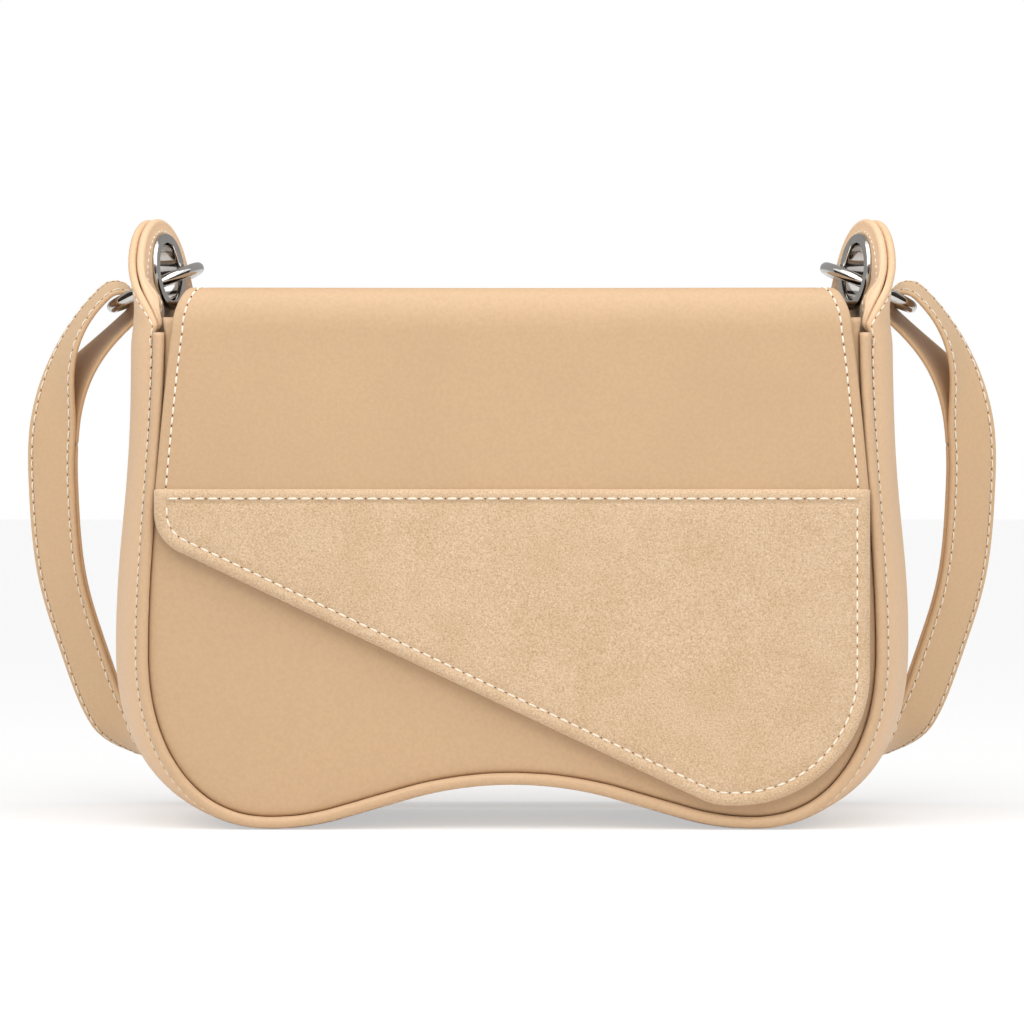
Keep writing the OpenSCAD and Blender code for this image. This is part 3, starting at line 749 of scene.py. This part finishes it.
for name, line, normal, facing, top, lean in (("front", front_seam, front_n, -1, FRONT_TOP_Z, -0.6),
                                              ("back", back_seam, back_n, 1, BACK_TOP_Z, 4.0)):
    upright_plate(name + "_panel_leather", seam_outline(line, normal, PANEL_OUT, top, lean), facing * PANEL_Y,
                  PANEL_THICK, smooth_leather, panel_crown, facing=facing, slot="smooth_leather",
                  replaces=(name + "_panel", name + "_board"))
for name, line, normal, y, facing, top in (("front", front_seam, front_n, -LINING_Y, 1, None),
                                           ("back", back_seam, back_n, LINING_Y, -1, BACK_TOP_Z - 2)):
    upright_plate(name + "_lining_cloth", seam_outline(line, normal, -1.5, top), y, LINING_THICK, lining_cloth,
                  cloth_crown, facing=facing, edge_radius=LINING_ROUND, slot="lining",
                  replaces=(name + "_lining",))

lining_n = grid_normals(gusset_grid)
lining_at = gusset_grid - lining_n * LINING_IN
crumple = 0.2 * wobble(lining_at.reshape(-1, 3), 30, 23).reshape(lining_at.shape[:2])
pts, fcs = layer(lining_at + lining_n * (crumple - 0.2)[..., None], lining_n, LINING_THICK, gusset_edges, 0.5)
make("gusset_lining_cloth", pts, fcs, lining_cloth, slot="lining", replaces=("gusset_lining",))

# Flap.

FOLD_R, FLAP_TOP_Z, FLAP_Y = 7.5, 166.8, -35.4
FOLD_H = 14.0
FOLD_Y, FOLD_Z = FLAP_Y + FOLD_R, FLAP_TOP_Z - FOLD_H
BACK_FOLD_R, ANCHOR_Y, ANCHOR_LOW = 3.2, 34.3, 140.8
SUEDE_TOP = 104.5
FLAP_BACK_HALF, FLAP_FOLD_HALF, FLAP_FRONT_HALF, FLAP_HALF = 96.6, 98.9, 104.3, 109.4
SLOPE = math.radians(25.4)
LOW_X, LOW_Z = 62.0, 7.8


def flap_path():
    """The flap's outer line from the anchor's lower edge over the top to the lower front, as (y, z, ny, nz)."""
    rows = [(ANCHOR_Y, z, 1, 0) for z in np.arange(ANCHOR_LOW, FLAP_TOP_Z - BACK_FOLD_R, 1.3)]
    y, z = ANCHOR_Y - BACK_FOLD_R, FLAP_TOP_Z - BACK_FOLD_R
    rows += [(y + BACK_FOLD_R * math.cos(a), z + BACK_FOLD_R * math.sin(a), math.cos(a), math.sin(a))
             for a in np.radians(np.arange(0, 90, 11.25))]
    rows += [(y, FLAP_TOP_Z, 0, 1) for y in np.arange(ANCHOR_Y - BACK_FOLD_R, FOLD_Y, -1.6)]
    rows += [(FOLD_Y - FOLD_R * math.sin(a), FOLD_Z + FOLD_H * math.cos(a),
              *unit([-math.sin(a) / FOLD_R, math.cos(a) / FOLD_H])) for a in np.radians(np.arange(0, 90, 4.5))]
    rows += [(FLAP_Y, z, -1, 0) for z in np.arange(FOLD_Z, SUEDE_TOP - 8, -1.6)]
    return np.array(rows)


path = flap_path()
flap_s = lengths(path[:, :2])
s_back = flap_s[np.argmax(path[:, 1] >= FLAP_TOP_Z - 1e-6)]
s_fold = flap_s[np.where(path[:, 1] >= FLAP_TOP_Z - 1e-6)[0][-1]]
s_front = flap_s[np.argmax((path[:, 2] == -1) & (path[:, 0] < 0))]


def flap_half_width(s):
    """Half width of the flap at a distance s along its outer line."""
    s = np.asarray(s, float)
    top = FLAP_BACK_HALF + (FLAP_FOLD_HALF - FLAP_BACK_HALF) * smooth((s - s_back) / (s_fold - s_back))
    fold = FLAP_FOLD_HALF + (FLAP_FRONT_HALF - FLAP_FOLD_HALF) * np.sin(
        np.pi / 2 * np.clip((s - s_fold) / (s_front - s_fold), 0, 1)) ** 0.9
    front = FLAP_FRONT_HALF + (FLAP_HALF - FLAP_FRONT_HALF) * np.clip(
        (s - s_front) / (FOLD_Z - SUEDE_TOP), 0, 1) ** 0.85
    return np.where(s < s_fold, top, np.where(s < s_front, fold, front))


flap_u = -np.cos(np.linspace(0, math.pi, 57))
flap_w = flap_half_width(flap_s)
flap_surface = np.stack(np.broadcast_arrays(flap_w[:, None] * flap_u, path[:, :1], path[:, 1:2]), 2)
flap_normal = np.stack(np.broadcast_arrays(np.zeros(len(flap_u)), path[:, 2:3], path[:, 3:]), 2)
flap_side = (1 - np.abs(flap_u))[None] * flap_w[:, None]
flap_end = np.minimum(flap_s, flap_s[-1] - flap_s + 5)[:, None]
flap_edge = np.minimum(flap_side, flap_end)
on_top = smooth((flap_s - s_back) / 8) * smooth((s_fold + 4 - flap_s) / 12)
sag = -0.7 * on_top[:, None] * np.cos(flap_u * math.pi / 2)[None] ** 2
front_part = smooth((flap_s - s_front) / 20)[:, None]
soft = (0.22 * wobble(flap_surface.reshape(-1, 3), 95, 31).reshape(flap_edge.shape)
        * smooth((flap_side - 4) / 15))
dent = bead(flap_side, FLAP_ROW_IN, -0.2, 0.7) * smooth((flap_s - s_back) / 8)[:, None]
dent = dent + bead(flap_s[:, None], ANCHOR_ROWS[0], -0.2, 0.7)
flap_top = flap_surface + flap_normal * (sag + soft * front_part + dent)[..., None]
pts, fcs = layer(flap_top, flap_normal, FLAP_THICK, flap_edge, FLAP_ROUND)
flap_leather = make("flap_leather", pts, fcs, smooth_leather, slot="smooth_leather",
                    replaces=("flap_upper", "flap_anchor"), ride=False)

# Two points of the frame, in metres, on the flap's top, where the real flap's leather bends. The flap's side
# stitches only take them as their blend.
HINGE_START, HINGE_END = (0, 0.0236, 0.1668), (0, 0.0075, 0.1668)
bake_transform(flap_leather)

# The suede stands just outside the flap's outline and the lining inside it.
SUEDE_OUT, FLAP_LINING_IN, FLAP_LINING_DEPTH = 0.3, 0.7, 1.8
SUEDE_Y, SUEDE_THICK = -35.45, 2.7
SUEDE_FACE = SUEDE_Y - SUEDE_THICK / 2


def flap_front_outline(margin):
    """The suede panel's outline (x, z) inside the flap's own outline by a margin."""
    left_z = LOW_Z + (LOW_X + FLAP_HALF) * math.tan(SLOPE)
    half = FLAP_HALF - margin
    return rounded([(-half, left_z + margin, 13), (LOW_X, LOW_Z + margin, 20), (half, LOW_Z + margin, 41),
                    (half, SUEDE_TOP, 0), (-half, SUEDE_TOP, 0)])


def place_on_flap(flat, lift):
    """Points (x, z measured down the flap's outer line) at a height over the flap's outer face."""
    s = s_front + (FOLD_Z - flat[:, 1])
    y, z, ny, nz = (np.interp(s, flap_s, path[:, k]) for k in range(4))
    below = s > flap_s[-1]
    y, z = np.where(below, FLAP_Y, y), np.where(below, FOLD_Z - (s - s_front), z)
    ny, nz = np.where(below, -1, ny), np.where(below, 0, nz)
    return np.stack([flat[:, 0], y + ny * lift, z + nz * lift], 1)


def flap_lining_crown(d, p):
    return 0.10 * wobble(upright(p), 45, 41) * smooth(d / 8)


s = np.linspace(s_front + FOLD_Z - SUEDE_TOP, s_back + 2.6, 40)
side = np.stack([flap_half_width(s) - FLAP_LINING_IN, FOLD_Z + s_front - s], 1)
lining_outline = np.vstack([flap_front_outline(FLAP_LINING_IN)[:-2], side, side[::-1] * [-1, 1]])
flat, height, fcs = plate(lining_outline, LINING_THICK, LINING_ROUND, flap_lining_crown, 2.6,
                          (0.2, 0.6, 1.5, 3.0, 5.0))
flap_cloth = make("flap_lining_cloth", place_on_flap(flat, height - FLAP_LINING_DEPTH), fcs, lining_cloth,
                  slot="lining", replaces=("flap_lining",), ride=False)
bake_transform(flap_cloth)


def suede_crown(d, p):
    """A rolled edge, the dip along the seam and a slight unevenness."""
    near_top = np.exp(-np.abs(SUEDE_TOP - p[:, 1]) / 2.0)
    roll = bead(d, 2.0, 0.35, 1.3) * (1 - near_top)
    return roll - bead(d, SUEDE_ROW_IN, 0.42, 0.8) + 0.18 * wobble(upright(p), 60, 51) * smooth((d - 5) / 20)


upright_plate("flap_suede_panel", flap_front_outline(-SUEDE_OUT), SUEDE_Y, SUEDE_THICK, suede_leather,
              suede_crown, edge_radius=SUEDE_ROUND, step=3.5, body="flap", slot="suede",
              replaces=("flap_suede", "flap_board"))

# Strap.

RING_AT = np.array([-114.89, 14.98, 169.86])
RING_TILT, RING_ROLL = math.radians(24.6), math.radians(-3.3)
RING_R = 15.0
ring_u = np.array([math.cos(RING_TILT), 0, math.sin(RING_TILT)])
ring_v = np.array([math.sin(RING_TILT) * math.sin(RING_ROLL), math.cos(RING_ROLL),
                   -math.cos(RING_TILT) * math.sin(RING_ROLL)])
STRAP_W, BAND_T, BAND_GAP = 20.0, 1.5, 0.12
LOOP_HALF, LOOP_WIDE_Z, LOOP_LOW_Z = 149.4, 106.0, 10.15
LOOP_TOP_EXP, LOOP_LOW_EXP = 2.5, 3
CORE_STEP = 2.2
STRAP_TURN, HAIRPIN_TURN = math.radians(54), math.radians(16)
HAIRPIN_IN, HAIRPIN_ROOM, HAIRPIN_RUN, TWIST_RUN, REAR_GAP = 1.6, 5.0, 40, 42, 4
hairpin = RING_AT - ring_u * (RING_R - HAIRPIN_IN)
HAIRPIN_R = HAIRPIN_ROOM + BAND_T / 2
REAR_Y = HALF_D + RIM_R + REAR_GAP + STRAP_W / 2
loop_top_h = (hairpin[2] - LOOP_WIDE_Z) / (1 - (-hairpin[0] / LOOP_HALF) ** LOOP_TOP_EXP) ** (1 / LOOP_TOP_EXP)
loop_end = math.atan2((hairpin[2] - LOOP_WIDE_Z) / loop_top_h, -hairpin[0] / LOOP_HALF)


def strap_core():
    """The left half of the strap's middle line, from its lowest point up to the ring."""
    a = np.linspace(-math.pi / 2, loop_end, 400)
    e = np.where(a > 0, LOOP_TOP_EXP, LOOP_LOW_EXP * (1 + smooth((np.degrees(-a) - 15) / 45) ** 2))
    r = (np.abs(np.cos(a)) ** e + np.abs(np.sin(a)) ** e) ** (-1 / e)
    x = -LOOP_HALF * r * np.cos(a)
    z = LOOP_WIDE_Z + np.where(a < 0, LOOP_WIDE_Z - LOOP_LOW_Z, loop_top_h) * r * np.sin(a)
    y = hairpin[1] + (REAR_Y - hairpin[1]) * smooth((hairpin[2] - z) / (hairpin[2] - LOOP_LOW_Z))
    return resample(np.stack([x, y, z], 1), CORE_STEP)


core = strap_core()
core_t = unit(np.gradient(core, axis=0))
core_t[0] = [-1, 0, 0]
near = smooth((core[:, 2] - (hairpin[2] - TWIST_RUN)) / TWIST_RUN)
turned = STRAP_TURN * smooth((core[:, 2] - LOOP_LOW_Z) / 20)
end_out = unit(np.cross(core_t[-1], ring_v))
end_w = ring_v * math.cos(HAIRPIN_TURN) + end_out * math.sin(HAIRPIN_TURN)
want = ((1 - near)[:, None] * np.stack([-np.sin(turned), np.cos(turned), 0 * turned], 1)
        + near[:, None] * end_w)
core_w = unit(want - core_t * (want * core_t).sum(1, keepdims=True))
core_o = np.cross(core_t, core_w)
apart = (BAND_T + BAND_GAP) / 2 + (HAIRPIN_R - (BAND_T + BAND_GAP) / 2) * smooth(
    (core[:, 2] - (hairpin[2] - HAIRPIN_RUN)) / HAIRPIN_RUN)

# The hairpin round the ring, then the tongue that lies under the outer band.
turn = np.linspace(0, math.pi, 15)[1:]
hair_o = core_o[-1] * np.cos(turn)[:, None] + core_t[-1] * np.sin(turn)[:, None]
TONGUE = 24
under = core - core_o * apart[:, None]
butt = under[-TONGUE] + (under[-TONGUE + 1] - under[-TONGUE]) * np.array([[0.53], [0.47]])
outer_at = np.vstack([core + core_o * apart[:, None], core[-1] + hair_o * HAIRPIN_R,
                      under[-2:-TONGUE:-1], butt[1:]])
outer_o = np.vstack([core_o, hair_o, -core_o[-2:-TONGUE - 1:-1]])
outer_w = np.vstack([core_w, np.repeat(core_w[-1:], len(turn), 0), core_w[-2:-TONGUE - 1:-1]])
inner_at = np.vstack([under[:-TONGUE + 1], butt[:1]])
inner_o, inner_w = -core_o[:-TONGUE + 2], core_w[:-TONGUE + 2]

strap_u = -np.cos(np.linspace(0, math.pi, 23))


def whole(half):
    """Both halves of a band, from the right end to the left end."""
    return np.vstack([half[:0:-1] * [-1, 1, 1], half])


band_faces = {}
for node, at, out, wide in (("strap_outer", outer_at, outer_o, outer_w),
                            ("strap_inner", inner_at, inner_o, inner_w)):
    at, out, wide = whole(at), whole(out), whole(wide)
    face = at[:, None] + out[:, None] * BAND_T / 2 + wide[:, None] * (strap_u * STRAP_W / 2)[None, :, None]
    normals = np.repeat(out[:, None], len(strap_u), 1)
    edge = np.minimum((1 - np.abs(strap_u))[None] * STRAP_W / 2, 8 * from_ends(at)[:, None])
    dent = bead(edge, STRAP_ROW_IN, -0.18, 0.6) + 0.12 * smooth((edge - STRAP_ROW_IN) / 4)
    pts, fcs = layer(face + normals * (dent - 0.05)[..., None], normals, BAND_T, edge, STRAP_ROUND)
    make(node + "_band", pts, fcs, strap_leather, body="strap", slot="strap_leather", replaces=(node,))
    band_faces[node] = face, normals


# Stitches.

THREAD_R, STITCH_LENGTH, THREAD_SIDES = 0.28, 3.1, 6
THREAD_LIFT, THREAD_DIVE, A_LITTLE = 0.07, 0.33, 0.05
# The height, half length and half width of a needle hole's lower and upper rim.
HOLE_RIMS = ((-0.25, 0.34, 0.30), (0.03, 0.28, 0.25))


def stitches(name, line, normals, body="bag", pitch=STITCH_PITCH, blend=None):
    """A row of thread stitches along a line on a surface, and the needle holes between them."""
    line, normals = np.asarray(line, float), np.asarray(normals, float)
    along = lengths(line)
    count = max(1, int(round(along[-1] / pitch)))
    pitch = along[-1] / count
    length = STITCH_LENGTH * pitch / STITCH_PITCH

    def at(s):
        p = np.array([np.interp(s, along, line[:, k]) for k in range(3)])
        return p, unit(np.array([np.interp(s, along, normals[:, k]) for k in range(3)]))

    ring = np.linspace(0, 2 * math.pi, THREAD_SIDES, endpoint=False)
    threads, holes = [], []
    rng = np.random.RandomState(len(name) * 7 + count)
    for i in range(count):
        middle = (i + 0.5) * pitch
        rings = []
        wide = THREAD_R * rng.uniform(0.94, 1.08)
        for t in np.linspace(-1, 1, 7):
            s = middle + t * length / 2
            p, n = at(s)
            side = np.cross(unit(at(s + A_LITTLE)[0] - at(s - A_LITTLE)[0]), n)
            r = wide * math.sqrt(max(1 - abs(t) ** 5 * 0.8, 0.05))
            p = p + n * (THREAD_LIFT - THREAD_DIVE * abs(t) ** 3)
            rings.append([p + side * r * math.cos(a) * 1.12 + n * r * math.sin(a) * 0.85 for a in ring])
        threads.append(loft(rings))
    for i in range(1, count):
        p, n = at(i * pitch)
        d = unit(at(i * pitch + A_LITTLE)[0] - p)
        side = np.cross(d, n)
        holes.append(loft([[p + n * up + d * long * math.cos(a) + side * wide * math.sin(a) for a in ring]
                           for up, long, wide in HOLE_RIMS]))
    hole_look = needle_hole if body == "flap" or name == "gusset_front" else soft_hole
    for obj in (make(name + "_stitches", *joined(threads), cream_thread, body=body, ride=blend is None),
                make(name + "_needle_holes", *joined(holes), hole_look, body=body, ride=blend is None)):
        if blend:
            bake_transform(obj)


def upright_row(name, line, y, **more):
    """A row along 2-D points (x, z) of an upright plane, facing away from the bag's middle."""
    points = upright(line) + [0, y, 0]
    stitches(name, points, np.tile([0.0, math.copysign(1.0, y), 0.0], (len(points), 1)), **more)


def row_at_edge(face, normals, edge, row_in, first_half):
    """The line on a layered surface that keeps its own distance from the edge, on one side of every row."""
    line, out = [], []
    half = edge.shape[1] // 2
    order = np.arange(half + 1) if first_half else np.arange(edge.shape[1] - 1, half - 1, -1)
    for i, want_in in enumerate(np.broadcast_to(row_in, (len(face),))):
        e = np.maximum.accumulate(edge[i, order])
        k = int(np.argmax(e > want_in))
        if k == 0:
            continue
        t = (want_in - e[k - 1]) / (e[k] - e[k - 1])
        a, b = order[k - 1], order[k]
        line.append(face[i, a] * (1 - t) + face[i, b] * t)
        out.append(normals[i, a] * (1 - t) + normals[i, b] * t)
    return np.array(line), np.array(out)


for first, where in ((True, "front"), (False, "back")):
    line, out = row_at_edge(surface, strip_normals, edges, row_in, first)
    stitches("gusset_" + where, line, out, pitch=GUSSET_PITCH)
ear, ear_out, ear_edge = strip[:ear_count], -strip_normals[:ear_count], edges[:ear_count]
ear_inner = ear + ear_out * (EAR_FACE + FACING_GAP + facing_thick(ear, share_at[:ear_count, None])[..., None])
(front, front_out), (back, back_out) = (
    row_at_edge(ear_inner, ear_out, ear_edge, FACING_ROW_IN, first) for first in (True, False))
for side, name in SIDES:
    mirror = np.array([-side, 1, 1])
    stitches(name + "_ear_facing", np.vstack([front[::-1], back]) * mirror,
             np.vstack([front_out[::-1], back_out]) * mirror, pitch=FACING_PITCH)

s = np.arange(s_back + 3, s_front + FOLD_Z - SUEDE_TOP + 2.6, 1.0)
for side, name in SIDES:
    p = place_on_flap(np.stack([side * (flap_half_width(s) - FLAP_ROW_IN), FOLD_Z + s_front - s], 1), 0 * s)
    n = np.stack([0 * s, np.interp(s, flap_s, path[:, 2]), np.interp(s, flap_s, path[:, 3])], 1)
    stitches("flap_" + name + "_side", p, n, body="flap", pitch=FLAP_SIDE_PITCH, blend=(HINGE_START, HINGE_END))
x = np.linspace(-ANCHOR_ROW_HALF, ANCHOR_ROW_HALF, 120)
for k, up in enumerate(ANCHOR_ROWS):
    upright_row("flap_anchor_%d" % (k + 1), np.stack([x, np.full(len(x), ANCHOR_LOW + up)], 1), ANCHOR_Y)

# The row round the suede starts and ends below the row along its top.
inner = inset(anticlockwise(closed_resample(flap_front_outline(-SUEDE_OUT), 0.8)), SUEDE_ROW_IN)
row_z = SUEDE_TOP - TOP_ROW_IN
below = inner[inner[:, 1] < row_z - 2.0]
start = int(np.argmax(np.linalg.norm(below - np.roll(below, 1, 0), axis=1)))
upright_row("suede_edge", np.roll(below, -start, 0), SUEDE_FACE + 0.35, body="flap", pitch=SUEDE_PITCH)
x = np.linspace(-FLAP_HALF + TOP_ROW_ENDS, FLAP_HALF - TOP_ROW_ENDS, 200)
upright_row("suede_top", np.stack([x, np.full(len(x), row_z)], 1), SUEDE_FACE - 0.12, body="flap")

for node, (face, normals) in band_faces.items():
    for sign, where in ((-1, "_front"), (1, "_back")):
        share = (sign * (1 - STRAP_ROW_IN / (STRAP_W / 2)) + 1) / 2
        line = face[:, 0] * (1 - share) + face[:, -1] * share
        stitches(node + where, line[2:-2], normals[2:-2, 0], body="strap", pitch=STRAP_PITCH)

# The metal nodes.

metals = [(side + part, look) for _, side in SIDES for part, look in (
    ("_grommet", grommet_metal), ("_grommet_washer", ring_metal), ("_ring", ring_metal))]
for node, look in metals + [("front_magnet", magnet_metal), ("flap_magnet", magnet_metal)]:
    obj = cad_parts[node]
    obj.data.polygons.foreach_set("use_smooth", [True] * len(obj.data.polygons))
    for slot in obj.material_slots:
        slot.material = look

# Studio.


def plain(name, albedo, shown, lift):
    """Matt white that the camera sees a little lifted, so that the floor stays white and its shadows soft."""
    mat = bpy.data.materials.new(name)
    mat.use_nodes = True
    shader = mat.node_tree.nodes["Principled BSDF"]
    rays = added(shader.inputs[0], "LightPath")
    for socket, other, seen in (("Base Color", albedo, shown), ("Emission Strength", 0, lift)):
        link(span(rays.outputs["Is Camera Ray"], other, seen), shader.inputs[socket])
    settings(shader, Emission_Color=(1, 1, 1, 1), Roughness=0.9, Specular_IOR_Level=0.1)
    return mat


FLOOR_HALF = 40.0
floor_mesh = bpy.data.meshes.new("floor")
floor_mesh.from_pydata([(x * FLOOR_HALF, y * FLOOR_HALF, 0) for x, y in ((-1, -1), (1, -1), (1, 1), (-1, 1))],
                       [], [(0, 1, 2, 3)])
floor_mesh.materials.append(plain("floor_white", albedo=0.9, shown=0.47, lift=0.50))
floor = placed("floor", floor_mesh)

world = bpy.data.worlds.new("studio")
bpy.context.scene.world = world
world.use_nodes = True
nodes = world.node_tree.nodes
nodes.clear()
out, lit, shown, mix, rays, seen = (nodes.new("ShaderNode" + kind) for kind in (
    "OutputWorld", "Background", "Background", "MixShader", "LightPath", "Math"))
seen.operation = "MAXIMUM"
settings(lit, Color=(1, 1, 1, 1), Strength=0.45)
settings(shown, Color=(1, 1, 1, 1), Strength=1.0)
link(rays.outputs["Is Camera Ray"], seen.inputs[0])
link(rays.outputs["Is Transmission Ray"], seen.inputs[1])
for node, socket in zip((seen, lit, shown), mix.inputs):
    link(node.outputs[0], socket)
link(mix.outputs[0], out.inputs[0])

SUN_ANGLE = math.radians(60)
for name, direction, strength in (("key", (0.1, 0.4, -1.0), 0.82), ("fill_left", (1.2, 0.5, -0.85), 0.7),
                                  ("fill_right", (-1.2, 0.5, -0.85), 0.7)):
    lamp = bpy.data.lights.new(name, "SUN")
    lamp.energy, lamp.angle = strength, SUN_ANGLE
    obj = placed(name, lamp)
    obj.rotation_mode = "QUATERNION"
    obj.rotation_quaternion = Vector(direction).to_track_quat("-Z", "Y")
soft = bpy.data.lights.new("softbox", "AREA")
soft.shape, soft.size, soft.energy = "SQUARE", 0.5, 1.4
softbox = placed("softbox", soft)
softbox.location = (0, -0.26, 0.48)
softbox.rotation_euler = (math.radians(32), 0, 0)

# Dark cards that only reflections see: they give the metal its contrast.
card_material = bpy.data.materials.new("dark_card")
card_material.use_nodes = True
settings(card_material.node_tree.nodes["Principled BSDF"], Base_Color=(0.02, 0.012, 0.007, 1), Roughness=0.9)
CARD_FOOT, CARD_HEAD = 0.02, 0.5
for name, a, b in (("card_left", (-0.55, -0.75), (-0.55, 0.1)), ("card_right", (0.55, -0.75), (0.55, 0.1)),
                   ("card_front", (-0.3, -1.4), (0.3, -1.4))):
    mesh = bpy.data.meshes.new(name)
    mesh.from_pydata([(*a, CARD_FOOT), (*b, CARD_FOOT), (*b, CARD_HEAD), (*a, CARD_HEAD)], [], [(0, 1, 2, 3)])
    mesh.materials.append(card_material)
    card = placed(name, mesh)
    for ray in ("camera", "diffuse", "transmission", "shadow", "volume_scatter"):
        setattr(card, "visible_" + ray, False)

# The camera stands a metre in front of the bag's middle and looks level at it.
CAMERA_AWAY, CAMERA_Z = 1000, 0.0975
cam_data = bpy.data.cameras.new("camera")
cam_data.lens, cam_data.sensor_width = 110.7, 36.0
cam_data.clip_end = 100
camera = placed("camera", cam_data)
camera.location = (0, (MID_Y - CAMERA_AWAY) / 1000, CAMERA_Z)
camera.rotation_euler = (math.radians(90), 0, 0)
bpy.context.scene.camera = camera
bpy.context.scene.view_settings.view_transform = "Standard"

bpy.context.view_layer.update()
